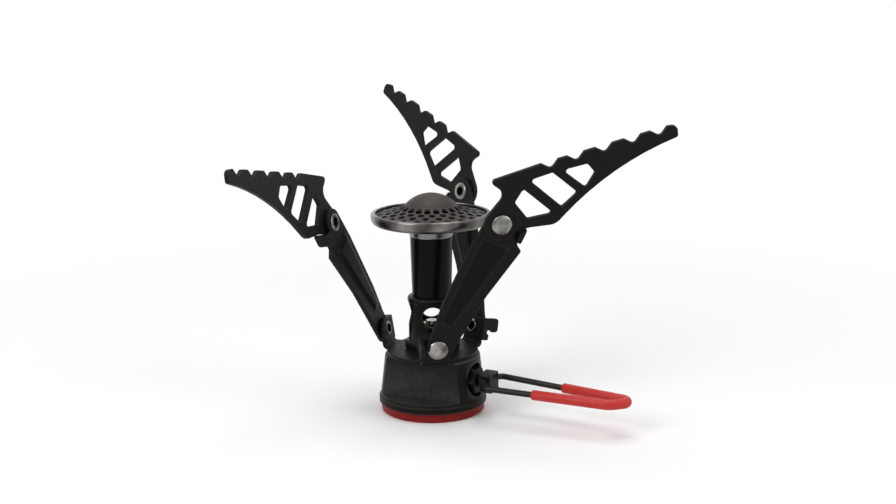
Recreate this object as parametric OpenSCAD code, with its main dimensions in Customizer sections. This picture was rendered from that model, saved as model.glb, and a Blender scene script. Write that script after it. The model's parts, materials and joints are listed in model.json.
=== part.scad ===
// Folding canister stove: a needle valve on a gas canister thread carries a mixing tube,
// a perforated burner head and three riveted arms with toothed pot supports.
// Millimetres, +Z up, +X along the valve stem, origin on the burner axis at the base plane.

/* [Base and valve body] */
// Outer radius of the base ring that sits on the canister
base_r = 17.2; // [16.4:0.1:20.6]
// Inner radius of the base ring
base_bore_r = 13.5; // [10:0.1:14.5]
// Height of the base ring
base_h = 2.9; // [2:0.1:3.6]
// Radius of the valve body's bottom flange
flange_r = 18; // [17:0.1:21.6]
// Height of the flange's straight edge
flange_h = 2.1; // [1:0.1:3]
// Radius of the body's cone just above the flange
body_foot_r = 17.4; // [16.4:0.1:17.9]
// Radius of the body's cone at its top
body_top_r = 15.8; // [13.4:0.1:17]
// Height of the body's top face above the base plane
body_top_z = 19.4; // [18.6:0.1:23.3]
// Distance of the flat side from the axis
flat_dist = 10.4; // [9.6:0.1:12.5]
// Direction of the flat side, seen from above
flat_turn = -85; // [-100:1:-70]

/* [Canister inlet] */
// Bore radius of the inlet thread, the minor radius of 7/16-28 UNEF
thread_r = 5.07; // [4.8:0.01:5.4]
// Outer radius of the brass inlet
inlet_r = 8; // [7:0.1:9]
// Height of the inlet's mouth above the base plane
inlet_mouth_z = 0; // [0:0.1:0.3]
// Length of the inlet's thread
thread_len = 4.8; // [4:0.1:5]
// Depth of the inlet's bore up to its roof
inlet_depth = 8.2; // [7.9:0.1:8.2]
// Radius of the pin that opens the canister's valve
pin_r = 0.9; // [0.6:0.1:1]

/* [Valve and handle] */
// Height of the valve stem's axis
stem_z = 11.8; // [11.6:0.1:12.6]
// Radius of the valve stem
stem_r = 2; // [1.6:0.1:2.2]
// Width across the flats of the gland nut
gland_flats = 8; // [7.6:0.1:9]
// Radius of the pocket in the body round the gland nut
pocket_r = 5.6; // [5.3:0.1:5.7]
// Distance of the handle's pivot from the burner axis
pivot_x = 21.3; // [20.8:0.1:26]
// Width of the stem block between the handle's legs
block_w = 6; // [5:0.1:7.2]
// Height of the stem block
block_h = 6.5; // [5:0.1:8]
// Radius of the handle's wire
wire_r = 1; // [0.8:0.05:1.2]
// Length of the handle from its pivot to the middle of its end
handle_len = 46.6; // [38.8:0.1:56]
// Slant of the handle's end, from square across
end_slant = 47; // [0:1:50]
// Outer radius of the handle's sleeve
sleeve_r = 1.65; // [1.35:0.05:2]
// Start of the sleeve on the near leg, from the pivot
sleeve_near = 17.5; // [10:0.1:30]
// Start of the sleeve on the far leg, from the pivot
sleeve_far = 23.9; // [10:0.1:30]
// Turn of the valve stem about its own axis, as it stands
stem_turn = 2; // [0:1:90]
// Droop of the handle, as it stands
handle_droop = 1; // [0:0.5:8]

/* [Support ring] */
// Thickness of the support ring's sheet
ring_t = 1.2; // [0.8:0.1:1.4]
// Outer radius of the support ring
ring_r = 15.2; // [13.5:0.1:15.8]
// Height of the ears' rounded top above the lower pivot
ear_top = 3.6; // [3:0.1:4.4]

/* [Arms] */
// Direction of the first arm, seen from above
arm_turn = 37; // [30:1:45]
// Lean of each arm from upright, as it stands
arm_lean = [24, 20, 29]; // [0:1:30]
// Outward splay of the arms' hinge planes
splay = 9.7; // [7:0.1:11.6]
// Distance of the hinge plane from the burner axis at the lower pivot
hinge_off = 19.3; // [18.9:0.1:23.2]
// Shift of the lower pivots along the arms' direction
hinge_shift = -1.2; // [-2.4:0.1:0]
// Height of the lower pivots above the body's top face
hinge_h = 6; // [5.6:0.1:7.6]
// Length of an arm between its pivots
arm_len = 46.8; // [39:0.1:56]
// Thickness of an arm's sheet
arm_t = 1.5; // [1.2:0.1:1.8]
// Depth of the pressed channel in an arm
press_depth = 0.7; // [0.3:0.1:1]
// Height of the stop tab above an arm's face
tab_rise = 3; // [2.2:0.1:4]

/* [Pot supports] */
// Thickness of a pot support
plate_t = 1.5; // [1.2:0.1:1.8]
// Angle from an arm to its pot support's top edge when the support rests on its stop
stop_angle = 39.4; // [37:0.1:42]
// Height of the top edge above the upper pivot
edge_h = 15.5; // [15:0.1:16.2]
// Depth of the notches in the top edge
notch_d = 2.4; // [1:0.1:2.8]

/* [Rivets] */
// Radius of a rivet's shank
rivet_r = 1.6; // [1.3:0.1:1.9]
// Radius of a rivet's head
head_r = 3.2; // [2.8:0.1:3.8]
// Height of a rivet's head
head_h = 1.2; // [0.8:0.1:1.5]
// Radius of a lower rivet's flared tail
tail_r = 2.3; // [2.1:0.1:2.8]
// Radius of an upper rivet's flared tail
upper_tail_r = 2.9; // [2.1:0.1:3.2]

/* [Burner] */
// Width across the flats of the mixing sleeve's foot
foot_flats = 16; // [15.6:0.1:18]
// Outer radius of the mixing sleeve
mixer_r = 7.8; // [7.5:0.1:8]
// Height of the mixing sleeve above the support ring
mixer_h = 18.4; // [17.4:0.1:23.4]
// Radius of the four air holes
air_r = 3.4; // [2.6:0.1:3.6]
// Height of the air holes above the support ring
air_h = 12.4; // [11.4:0.1:12.6]
// Outer radius of the burner tube at its top
tube_top_r = 7; // [6.8:0.1:8.4]
// Outer radius of the burner tube at its foot
tube_foot_r = 6.5; // [6.5:0.1:7.4]
// Length of the burner tube above the mixing sleeve
tube_len = 20; // [13:0.1:26]
// Outer radius of the burner head
head_rim_r = 19.8; // [19.4:0.1:21]
// Height of the burner head's rim band
rim_h = 3.5; // [3.3:0.1:4.2]
// Radius of the cap's dome at its foot
dome_r = 9.3; // [7.6:0.1:9.4]
// Height of the cap's dome
dome_h = 4.7; // [3.6:0.1:6]
// Radius of the cap's flame holes
port_r = 1; // [0.6:0.05:1.1]
// Flame holes in each row
ports_per_row = 21; // [14:1:21]

/* [Hidden] */
$fn = 64;

// Clearances: a press or screw fit, a running fit, a gap between sliding sheets, a stop's gap
fit_gap = 0.03;
run_gap = 0.05;
slide_gap = 0.1;
stop_gap = 0.2;

// Overrun of a cut, and length of a drill that goes right through a sheet
cut = 1;
through = 20;

black = "#1f1d1b";
dark_steel = "#3a3735";
bright_steel = "#b9b5ae";
brass = "#b08d4a";
ring_red = "#a81f1f";
sleeve_red = "#c8302b";
rubber = "#151515";

// Valve body and its neck
flange_top_z = base_h + flange_h;
foot_z = flange_top_z + 1;
flat_floor_z = foot_z + 0.1;
neck_r = 5.8;
neck_top_z = body_top_z + 6.6;
ring_top_z = body_top_z + ring_t;
hinge_z = body_top_z + hinge_h;
passage_r = 0.9;

// Canister inlet, its seal and the slotted pin
inlet_roof_z = inlet_mouth_z + inlet_depth;
inlet_top_z = inlet_roof_z + 1;
relief_r = thread_r + 0.4;
seal_h = 1.2;
seal_bore_r = 3;
pin_reach = 2.9;
pin_seat_r = 2;
pin_seat_h = 1;
pin_slot_r = 0.42;
pin_slot_dist = 1.42;

// Valve, along X from the burner axis
needle_tip_x = -0.5;
needle_tip_r = 0.4;
needle_x = 3.5;
seal_bore_x = 8.2;
seal_len = 1.3;
gland_thread_r = 3.25;
pocket_x = 13.5;
gland_end_x = pocket_x + 3.7;
block_x0 = pivot_x - 2.6;
block_x1 = pivot_x + 1.8;
block_socket = 1.2;
stem_end_r = 0.8 * stem_r;

// Handle: the pins in the block, their bends, the tapered legs and half the narrow end
pin_end = 0.8;
pin_bend_r = 2.4;
leg_taper = 4.5;
near_bend_r = 5;
far_bend_r = 2;
end_half = 3.1;
leg_x = pin_bend_r * (1 + sin(leg_taper));
leg_y = end_half + (handle_len - leg_x) * tan(leg_taper);
pin_bend_y = leg_y - pin_bend_r * cos(leg_taper);
joint_gap = 0.2;
ball_rise = 0.03;

// Arm sheets, along the hinge axis from the face where an arm meets its pot support
ear_face = -arm_t - slide_gap;
ear_back = ear_face - ring_t;
plate_face = slide_gap;
plate_back = plate_face + plate_t;

// Ears and hooks, across the lower pivot
ear_out = 3.8;
ear_round = 3.4;
ear_foot_in = -5.2;
ear_foot_out = 4.2;
ear_foot_y = (body_top_z + ring_t / 2 - hinge_z) / cos(splay);
hook_x = -4.8;
hook_top = ear_top - 0.4;
hook_low = -4.2;
hook_reach = 3.7;
tab_dist = hinge_off + ear_face * cos(splay) - (hinge_z - ring_top_z) * tan(splay);

// Arms: inner edge, lower and upper ends, stop tab
arm_inner = -5.3;
arm_end_in = -4.1;
arm_end_y = -4.3;
arm_round = 4.4;
tab_in = 6.6;
tab_out = tab_in + arm_t;
tab_foot_y = arm_len - 3.5;
arm_corner = 10.4;
arm_corner_y = arm_len - 6.3;
tab_root = 0.3;
channel_y0 = 9;
channel_y1 = arm_len - 7.3;
channel_in = -2.6;
channel_low_out = 1.2;
channel_high_out = 4.9;

// Pot supports: round end, heel on the stop tab, places and half widths of the notches
plate_round = 5.4;
neck_angle = 127;
heel_y = -3.7;
heel_angle = asin(heel_y / plate_round);
notch_x = [19.2, 27.6, 36.7, 46, 54.5];
notch_half = 2.7;

// Rivets
rivet_edge = 0.5;
rivet_hole_r = 0.75 * rivet_r;
rivet_hole_d = 1.3;

// Mixing sleeve, jet and tube, each from the piece below
foot_top_z = ring_top_z + 3.4;
mixer_top_z = ring_top_z + mixer_h;
air_z = ring_top_z + air_h;
mixer_bore_r = 6.45;
band_r = mixer_r + 0.3;
band_h = 2.1;
air_turn = -60;
jet_r = 2.5;
jet_tip_r = 2.2;
jet_bore_r = 1.2;
jet_hole_r = 0.2;
jet_seat = 3;
jet_flats = 5.5;
jet_hex_h = 3.6;
jet_h = 4.4;
tube_top_z = mixer_top_z + tube_len;
tube_bore_r = 5.6;
spigot_len = 2.8;
collar_r = tube_top_r + 0.2;
collar_top_z = tube_top_z + 2.3;
collar_bore_r = 4.9;

// Burner pan and cap
pan_t = 0.8;
pan_slope_h = 2.1;
pan_lip = 1.5;
rim_z = collar_top_z + pan_slope_h;
rim_top_z = rim_z + rim_h;
cap_t = 0.6;
cap_gap = 0.15;
cap_edge_r = head_rim_r - pan_t - cap_gap;
cap_edge_z = rim_top_z - pan_t - cap_t - 2 * slide_gap;
cap_rise = 3.2;
dome_foot_z = cap_edge_z + cap_rise;
dome_sphere = (dome_r * dome_r + dome_h * dome_h) / (2 * dome_h);
dome_span = asin(dome_r / dome_sphere);
port_rows = [9.7, 12, 14.3, 16.6];

function unit2(v) = v / norm(v);

// Arc that rounds the corner b = [x, y, radius] between the points a and c
function corner(a, b, c, steps) =
    let(p = [b.x, b.y],
        ua = unit2([a.x, a.y] - p),
        uc = unit2([c.x, c.y] - p),
        half = acos(max(-1, min(1, ua * uc))) / 2,
        o = p + unit2(ua + uc) * b.z / sin(half),
        s = p + ua * b.z / tan(half) - o,
        e = p + uc * b.z / tan(half) - o,
        a0 = atan2(s.y, s.x),
        turn = atan2(s.x * e.y - s.y * e.x, s * e))
    b.z == 0 ? [p] : [for (i = [0:steps]) o + b.z * [cos(a0 + turn * i / steps), sin(a0 + turn * i / steps)]];

// Outline through the points [x, y, radius], with every corner rounded
function rounded(pts, steps = 5) =
    let(n = len(pts))
    [for (i = [0:n - 1]) each corner(pts[(i + n - 1) % n], pts[i], pts[(i + 1) % n], steps)];

// Arc of points about a centre, from the angle a0 to a1
function arc(centre, r, a0, a1, steps) =
    [for (i = [0:steps]) centre + r * [cos(a0 + (a1 - a0) * i / steps), sin(a0 + (a1 - a0) * i / steps)]];

// Frame of a hinge: X outward along the arm's plane, Y up in it, Z along the hinge axis
module at_hinge(i)
    rotate([0, 0, arm_turn + 120 * i]) translate([hinge_shift, -hinge_off, hinge_z])
        rotate([90 + splay, 0, 0]) children();

// Frame of an arm, with its lower pivot at the origin and its upper pivot up the Y axis
module at_arm(i) at_hinge(i) rotate([0, 0, -arm_lean[i]]) children();

// Frame of a pot support, with its pivot at the origin and its top edge along X
module at_support(i) at_arm(i) translate([0, arm_len, 0]) rotate([0, 0, stop_angle]) children();

// Frame of the valve stem, with X along it
module at_stem() translate([0, 0, stem_z]) rotate([stem_turn, 0, 0]) children();

// Frame of the handle, with its pivot at the origin
module at_handle() at_stem() translate([pivot_x, 0, 0]) rotate([0, handle_droop, 0]) children();

// Cylinder along X from x0 to x1
module rod_x(r, x0, x1) translate([x0, 0, 0]) rotate([0, 90, 0]) cylinder(r = r, h = x1 - x0);

// Hexagonal bar with a given width across its flats
module hexagon(flats, h) cylinder(r = flats / sqrt(3), h = h, $fn = 6);

// Rivet along Z between the faces z0 and z1: hollow tail flared to its radius below, domed head above
module rivet(z0, z1, tail) {
    crown = head_h - rivet_edge;
    crown_sphere = (head_r * head_r + crown * crown) / (2 * crown);
    difference() {
        union() {
            translate([0, 0, z0 - rivet_edge]) cylinder(r = tail, h = rivet_edge);
            translate([0, 0, z0 - cut / 4]) cylinder(r = rivet_r, h = z1 - z0 + cut / 2);
            translate([0, 0, z1]) cylinder(r = head_r, h = rivet_edge);
            intersection() {
                translate([0, 0, z1 + head_h - crown_sphere]) sphere(r = crown_sphere);
                translate([0, 0, z1 + rivet_edge / 2]) cylinder(r = head_r, h = head_h);
            }
        }
        translate([0, 0, z0 - rivet_edge - cut])
            cylinder(r = rivet_hole_r, h = cut + rivet_edge + rivet_hole_d);
    }
}

module valve_body() color(black) {
    top_edge = 0.5;
    difference() {
        rotate_extrude() polygon([
            [0, base_h], [flange_r, base_h], [flange_r, flange_top_z], [body_foot_r, foot_z],
            [body_top_r, body_top_z - top_edge], [body_top_r - top_edge, body_top_z],
            [neck_r, body_top_z], [neck_r, neck_top_z], [0, neck_top_z]]);
        // Flat side, cut down to a ledge on the flange
        rotate([0, 0, flat_turn]) translate([flat_dist, -flange_r, flat_floor_z])
            cube([flange_r, 2 * flange_r, body_top_z]);
        // Seat of the inlet and the gas passage up to the jet
        translate([0, 0, base_h - cut])
            cylinder(r = inlet_r + fit_gap, h = inlet_top_z + fit_gap - base_h + cut);
        translate([0, 0, base_h]) cylinder(r = passage_r, h = neck_top_z);
        translate([0, 0, neck_top_z - jet_seat]) cylinder(r = jet_r + fit_gap, h = jet_seat + cut);
        // Valve bore, gland thread and the pocket round the gland nut
        translate([0, 0, stem_z]) {
            rod_x(stem_r + run_gap, needle_tip_x - cut, pocket_x);
            rod_x(gland_thread_r, seal_bore_x, pocket_x + cut);
            rod_x(pocket_r, pocket_x, flange_r + cut);
        }
    }
}

module base_ring() color(ring_red) {
    edge = 0.4;
    rotate_extrude() polygon([
        [base_bore_r, 0], [base_r - edge, 0], [base_r, edge], [base_r, base_h], [base_bore_r, base_h]]);
}

module canister_inlet() color(brass)
    difference() {
        translate([0, 0, inlet_mouth_z]) cylinder(r = inlet_r, h = inlet_top_z - inlet_mouth_z);
        translate([0, 0, inlet_mouth_z - cut]) cylinder(r = thread_r, h = thread_len + 2 * cut);
        translate([0, 0, inlet_mouth_z + thread_len]) cylinder(r = relief_r, h = inlet_depth - thread_len);
        translate([0, 0, inlet_roof_z - cut]) cylinder(r = pin_seat_r, h = pin_seat_h + 2 * cut);
    }

module canister_seal() color(rubber)
    difference() {
        translate([0, 0, inlet_roof_z - seal_h]) cylinder(r = relief_r - run_gap, h = seal_h);
        translate([0, 0, inlet_roof_z - seal_h - cut]) cylinder(r = seal_bore_r, h = seal_h + 2 * cut);
    }

module depressor_pin() color(brass)
    difference() {
        union() {
            translate([0, 0, inlet_roof_z - pin_reach]) cylinder(r = pin_r, h = pin_reach + pin_seat_h / 2);
            translate([0, 0, inlet_roof_z]) cylinder(r = pin_seat_r - fit_gap, h = pin_seat_h);
        }
        for (a = [0, 120, 240])
            rotate([0, 0, a]) translate([pin_slot_dist, 0, inlet_roof_z - cut / 2])
                cylinder(r = pin_slot_r, h = pin_seat_h + cut);
    }

module gland_nut() color(black) translate([0, 0, stem_z])
    difference() {
        union() {
            rod_x(gland_thread_r - fit_gap, seal_bore_x + seal_len, pocket_x + cut);
            translate([pocket_x, 0, 0]) rotate([0, 90, 0]) hexagon(gland_flats, gland_end_x - pocket_x);
        }
        rod_x(stem_r + run_gap, seal_bore_x, gland_end_x + cut);
    }

module stem_seal() color(rubber) translate([seal_bore_x + seal_len / 2, 0, stem_z]) {
    section = (gland_thread_r - stem_r) / 2 - run_gap;
    rotate([0, 90, 0]) rotate_extrude() translate([(gland_thread_r + stem_r) / 2, 0]) circle(r = section);
}

module valve_stem() color(dark_steel) at_stem() {
    translate([needle_tip_x, 0, 0]) rotate([0, 90, 0])
        cylinder(r1 = needle_tip_r, r2 = stem_r, h = needle_x - needle_tip_x);
    rod_x(stem_r, needle_x, block_x0);
    rod_x(stem_end_r, block_x0 - cut, block_x0 + block_socket);
}

module stem_block() color(black) at_stem() {
    edge = 0.7;
    difference() {
        translate([block_x0, 0, 0]) rotate([90, 0, 90]) linear_extrude(block_x1 - block_x0)
            polygon(rounded([[-block_w / 2, -block_h / 2, edge], [block_w / 2, -block_h / 2, edge],
                [block_w / 2, block_h / 2, edge], [-block_w / 2, block_h / 2, edge]]));
        rod_x(stem_end_r + fit_gap, block_x0 - cut, block_x0 + block_socket + fit_gap);
        translate([pivot_x, 0, 0]) rotate([90, 0, 0])
            cylinder(r = wire_r + run_gap, h = 2 * block_w, center = true);
    }
}

// Round bend in the plane XY about a centre, from the angle a0 over a span
module bend(r, centre, bend_r, a0, span) translate([centre.x, centre.y, 0]) rotate([0, 0, a0])
    rotate_extrude(angle = span) translate([bend_r, 0]) circle(r = r);

// Frame of one of the handle's legs, with X along it from its first bend
module at_leg(side) translate([leg_x, side * leg_y, 0]) rotate([0, 0, -side * leg_taper]) children();

// One side of the handle's end: its bend's radius, turn and length from the corner to where the bend starts,
// the corner's distance from the middle line, the length of its leg up to the bend, and the reach of the
// straight end from its middle to the bend
function end_bend_r(side) = side < 0 ? near_bend_r : far_bend_r;
function end_turn(side) = 90 - leg_taper + side * end_slant;
function end_setback(side) = end_bend_r(side) * tan(end_turn(side) / 2);
function corner_half(side) = end_half / (1 + side * tan(end_slant) * tan(leg_taper));
function leg_len(side) =
    (handle_len + side * corner_half(side) * tan(end_slant) - leg_x) / cos(leg_taper) - end_setback(side);
function end_reach(side) = corner_half(side) / cos(end_slant) - end_setback(side);

// Outer loop of the handle, from a distance along the near leg to one along the far leg.
// The legs and the end stop short of the bends, and meet them in balls that are a touch larger.
module handle_loop(r, from_near, from_far) {
    for (leg = [[-1, from_near], [1, from_far]]) {
        side = leg[0];
        bend_r = end_bend_r(side);
        gap_turn = joint_gap / bend_r * 180 / PI;
        at_leg(side) {
            rod_x(r, leg[1], leg_len(side) - joint_gap);
            translate([leg_len(side), 0, 0]) sphere(r = r + ball_rise);
            bend(r, [leg_len(side), -side * bend_r], bend_r, side * (90 - end_turn(side) + gap_turn),
                side * (end_turn(side) - 2 * gap_turn));
        }
    }
    translate([handle_len, 0, 0]) rotate([0, 0, -end_slant]) {
        for (side = [-1, 1]) translate([0, side * end_reach(side), 0]) sphere(r = r + ball_rise);
        translate([0, end_reach(1) - joint_gap, 0]) rotate([90, 0, 0])
            cylinder(r = r, h = end_reach(1) + end_reach(-1) - 2 * joint_gap);
    }
}

module handle_wire() color(dark_steel) at_handle() {
    handle_loop(wire_r, joint_gap, joint_gap);
    for (side = [-1, 1]) {
        at_leg(side) sphere(r = wire_r + ball_rise);
        bend(wire_r, [pin_bend_r, side * pin_bend_y], pin_bend_r, 180,
            -side * (90 + leg_taper - joint_gap / pin_bend_r * 180 / PI));
        translate([0, side * pin_bend_y, 0]) rotate([side * 90, 0, 0])
            cylinder(r = wire_r, h = pin_bend_y - pin_end);
    }
}

module handle_sleeve() color(sleeve_red) at_handle()
    difference() {
        handle_loop(sleeve_r, (sleeve_near - leg_x) / cos(leg_taper), (sleeve_far - leg_x) / cos(leg_taper));
        handle_loop(wire_r + run_gap, joint_gap, joint_gap);
    }

// Ear of the support ring, standing in the hinge plane behind its arm
module ear()
    difference() {
        translate([0, 0, ear_back]) linear_extrude(ring_t) polygon(rounded([
            [ear_foot_in, ear_foot_y, 0], [ear_foot_out, ear_foot_y, 0], [ear_out, -1, 1.5],
            [ear_out, ear_top, ear_round], [hook_x - ring_t, hook_top, 0.6],
            [hook_x - ring_t, hook_low, 0.6]]));
        cylinder(r = rivet_r + fit_gap, h = through, center = true);
    }

// Hook bent from an ear's inner edge: a nub below, and a bar above with a drooping tip that stops the arm
module hook()
    translate([hook_x, 0, 0]) rotate([0, -90, 0]) linear_extrude(ring_t) polygon(rounded([
        [ear_back, hook_low, 0], [-0.2, hook_low, 0.7], [-0.2, -2.1, 0.6], [ear_face, -2.1, 0.3],
        [ear_face, -0.8, 0.3], [0.6, -0.8, 0.4], [1.2, -1.5, 0.5], [hook_reach, -1.5, 1],
        [hook_reach, hook_top, 1.3], [ear_back, hook_top, 0]]));

module support_ring() color(black) {
    difference() {
        union() {
            translate([0, 0, body_top_z]) cylinder(r = ring_r, h = ring_t);
            for (i = [0:2]) rotate([0, 0, arm_turn + 120 * i])
                translate([hinge_shift + ear_foot_in, -tab_dist, body_top_z])
                    cube([ear_foot_out - ear_foot_in, tab_dist - ring_r / 2, ring_t]);
        }
        translate([0, 0, body_top_z - cut]) cylinder(r = neck_r + fit_gap, h = ring_t + 2 * cut);
    }
    for (i = [0:2]) at_hinge(i) {
        ear();
        hook();
    }
}

module mixing_sleeve() color(black)
    difference() {
        union() {
            translate([0, 0, ring_top_z]) hexagon(foot_flats, foot_top_z - ring_top_z);
            translate([0, 0, ring_top_z]) cylinder(r = mixer_r, h = mixer_top_z - ring_top_z);
            translate([0, 0, mixer_top_z - band_h]) rotate_extrude() polygon(rounded([
                [mixer_bore_r, 0, 0], [band_r, 0, 0.5], [band_r, band_h, 0.9], [mixer_bore_r, band_h, 0]]));
        }
        translate([0, 0, ring_top_z - cut]) cylinder(r = neck_r + fit_gap, h = neck_top_z - ring_top_z + cut);
        translate([0, 0, neck_top_z - cut / 2]) cylinder(r = mixer_bore_r, h = mixer_top_z);
        for (a = [0, 90]) rotate([0, 0, air_turn + a]) translate([0, 0, air_z]) rotate([0, 90, 0])
            cylinder(r = air_r, h = 4 * mixer_r, center = true);
    }

module gas_jet() color(brass)
    difference() {
        union() {
            translate([0, 0, neck_top_z - jet_seat]) cylinder(r = jet_r, h = jet_seat);
            translate([0, 0, neck_top_z]) hexagon(jet_flats, jet_hex_h);
            translate([0, 0, neck_top_z]) cylinder(r = jet_tip_r, h = jet_h);
        }
        translate([0, 0, neck_top_z - jet_seat - cut]) cylinder(r = jet_bore_r, h = jet_seat + jet_h);
        translate([0, 0, neck_top_z]) cylinder(r = jet_hole_r, h = 2 * jet_h);
    }

module burner_tube() color(black)
    rotate_extrude() polygon([
        [tube_bore_r, mixer_top_z - spigot_len], [mixer_bore_r - fit_gap, mixer_top_z - spigot_len],
        [mixer_bore_r - fit_gap, mixer_top_z], [tube_foot_r, mixer_top_z],
        [tube_top_r, tube_top_z], [tube_bore_r, tube_top_z]]);

module burner_collar() color(bright_steel)
    rotate_extrude() polygon([
        [collar_bore_r, tube_top_z - 2 * spigot_len], [tube_bore_r - fit_gap, tube_top_z - 2 * spigot_len],
        [tube_bore_r - fit_gap, tube_top_z], [collar_r, tube_top_z],
        [collar_r, collar_top_z], [collar_bore_r, collar_top_z]]);

module burner_pan() color(bright_steel)
    rotate_extrude() polygon(rounded([
        [collar_bore_r, collar_top_z, 0], [collar_r + 1, collar_top_z, 0],
        [head_rim_r, rim_z, 2.4], [head_rim_r, rim_top_z, 0.8], [head_rim_r - pan_lip, rim_top_z, 0],
        [head_rim_r - pan_lip, rim_top_z - pan_t, 0], [head_rim_r - pan_t, rim_top_z - pan_t, 0.1],
        [head_rim_r - pan_t, rim_z + pan_t, 1.6], [collar_r, collar_top_z + pan_t, 0],
        [collar_bore_r, collar_top_z + pan_t, 0]]));

module burner_cap() color(dark_steel) {
    centre = [0, dome_foot_z + dome_h - dome_sphere];
    difference() {
        rotate_extrude() polygon(concat(
            [[cap_edge_r, cap_edge_z], [cap_edge_r, cap_edge_z + cap_t]],
            arc(centre, dome_sphere, 90 - dome_span, 90, 12),
            arc(centre, dome_sphere - cap_t, 90, 90 - dome_span, 12)));
        for (row = [0:len(port_rows) - 1], k = [0:ports_per_row - 1])
            rotate([0, 0, (k + row / 2) * 360 / ports_per_row])
                translate([port_rows[row], 0, cap_edge_z - cut]) cylinder(r = port_r, h = dome_h + 2 * cut);
    }
}

module lower_rivets() color(bright_steel)
    for (i = [0:2]) at_hinge(i) rivet(ear_back, slide_gap, tail_r);

module upper_rivet(i) color(bright_steel)
    at_arm(i) translate([0, arm_len, 0]) rivet(-arm_t, plate_back + slide_gap, upper_tail_r);

// Tapered channel pressed into an arm, drawn in by the given margin
module channel(margin) polygon(rounded([
    [channel_in + margin, channel_y0 + margin, 0.9], [channel_low_out - margin, channel_y0 + margin, 0.9],
    [channel_high_out - margin, channel_y1 - margin, 2.4], [channel_in + margin, channel_y1 - margin, 2.4]]));

module arm(i) color(black) at_arm(i) {
    tab_top_in = arm_len + (heel_y - stop_gap) / cos(stop_angle) + tab_in * tan(stop_angle);
    tab_top_out = tab_top_in + arm_t * tan(stop_angle);
    difference() {
        union() {
            // Sheet: inner edge, heel, round lower end, outer edge up to the tab, round upper end
            translate([0, 0, -arm_t]) linear_extrude(arm_t) polygon(concat(rounded([
                [-arm_round, arm_len, 0], [arm_inner, arm_len - 10, 9], [arm_inner, 15, 9],
                [arm_end_in, 4, 4], [arm_end_in, -1, 1.5], [-3.5, -3.5, 0.3], [-2, arm_end_y, 0.8],
                [4.3, arm_end_y, 4], [5.3, 8, 6], [6.6, 22, 20], [arm_corner, arm_corner_y, 0.8],
                [tab_out, tab_foot_y - 1.2, 0.6], [tab_out, tab_top_out - tab_root, 0],
                [tab_in, tab_top_in - tab_root, 0], [arm_round, arm_len, 0]]),
                arc([0, arm_len], arm_round, 7.5, 172.5, 22)));
            // Stop tab, bent up from the outer edge
            translate([0, 0, -arm_t]) linear_extrude(arm_t + tab_rise) polygon([
                [tab_in, tab_foot_y], [tab_out, tab_foot_y], [tab_out, tab_top_out], [tab_in, tab_top_in]]);
            translate([0, 0, -arm_t - press_depth]) linear_extrude(press_depth) channel(0);
        }
        translate([0, 0, -press_depth]) linear_extrude(press_depth + cut) channel(arm_t / 3);
        cylinder(r = rivet_r + run_gap, h = through, center = true);
        translate([0, arm_len, 0]) cylinder(r = rivet_r + fit_gap, h = through, center = true);
    }
}

// Outline of a pot support: neck, nose, toothed top edge, round tip, bowed lower edge, knee and heel,
// closed by the round end about the pivot
function support_outline() =
    concat(rounded(concat(
        [[plate_round * cos(neck_angle), plate_round * sin(neck_angle), 0], [3.6, 9.4, 2.8],
            [-0.7, edge_h - 0.7, 1.1]],
        [for (x = notch_x) each [[x - notch_half, edge_h, 0.5], [x, edge_h - notch_d, 1.3],
            [x + notch_half, edge_h, 0.5]]],
        [[60.4, edge_h - 0.5, 1.8], [60, 11.2, 0.9], [37.7, 8.7, 90], [16.5, -5.2, 5], [8.2, heel_y, 6],
            [plate_round * cos(heel_angle), heel_y, 0]]), 6),
        arc([0, 0], plate_round, heel_angle - 8, neck_angle - 352, 24));

// Windows between the slanted struts of a pot support
windows = [
    [[9.2, 9.2, 0.7], [5.6, 5.7, 0.9], [8.3, -0.6, 0.8], [16.5, -1.3, 0.7]],
    [[11.7, 11.4, 0.9], [19.2, 11.7, 0.8], [25.4, 3, 0.9], [19.6, -0.1, 0.7]],
    [[22.4, 11.5, 0.9], [30.4, 11.2, 0.8], [32.1, 7.7, 0.8], [28.3, 3.8, 0.8]]];

module pot_support(i) color(black) at_support(i)
    difference() {
        translate([0, 0, plate_face]) linear_extrude(plate_t) difference() {
            polygon(support_outline());
            for (w = windows) polygon(rounded(w));
        }
        cylinder(r = rivet_r + run_gap, h = through, center = true);
    }

valve_body();
base_ring();
canister_inlet();
canister_seal();
depressor_pin();
gland_nut();
stem_seal();
support_ring();
mixing_sleeve();
gas_jet();
burner_tube();
burner_collar();
burner_pan();
burner_cap();
lower_rivets();
arm(0);  // arm_1
arm(1);  // arm_2
arm(2);  // arm_3
upper_rivet(0);  // upper_rivet_1
upper_rivet(1);  // upper_rivet_2
upper_rivet(2);  // upper_rivet_3
pot_support(0);  // pot_support_1
pot_support(1);  // pot_support_2
pot_support(2);  // pot_support_3
valve_stem();
stem_block();
handle_wire();
handle_sleeve();
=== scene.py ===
# Folding canister stove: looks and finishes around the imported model.
# Sizes are in millimetres, in each piece's own frame, and MM turns them into metres.
import json
import math

import bmesh
import bpy
from mathutils import Matrix, Vector
from mathutils.geometry import delaunay_2d_cdt


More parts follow.
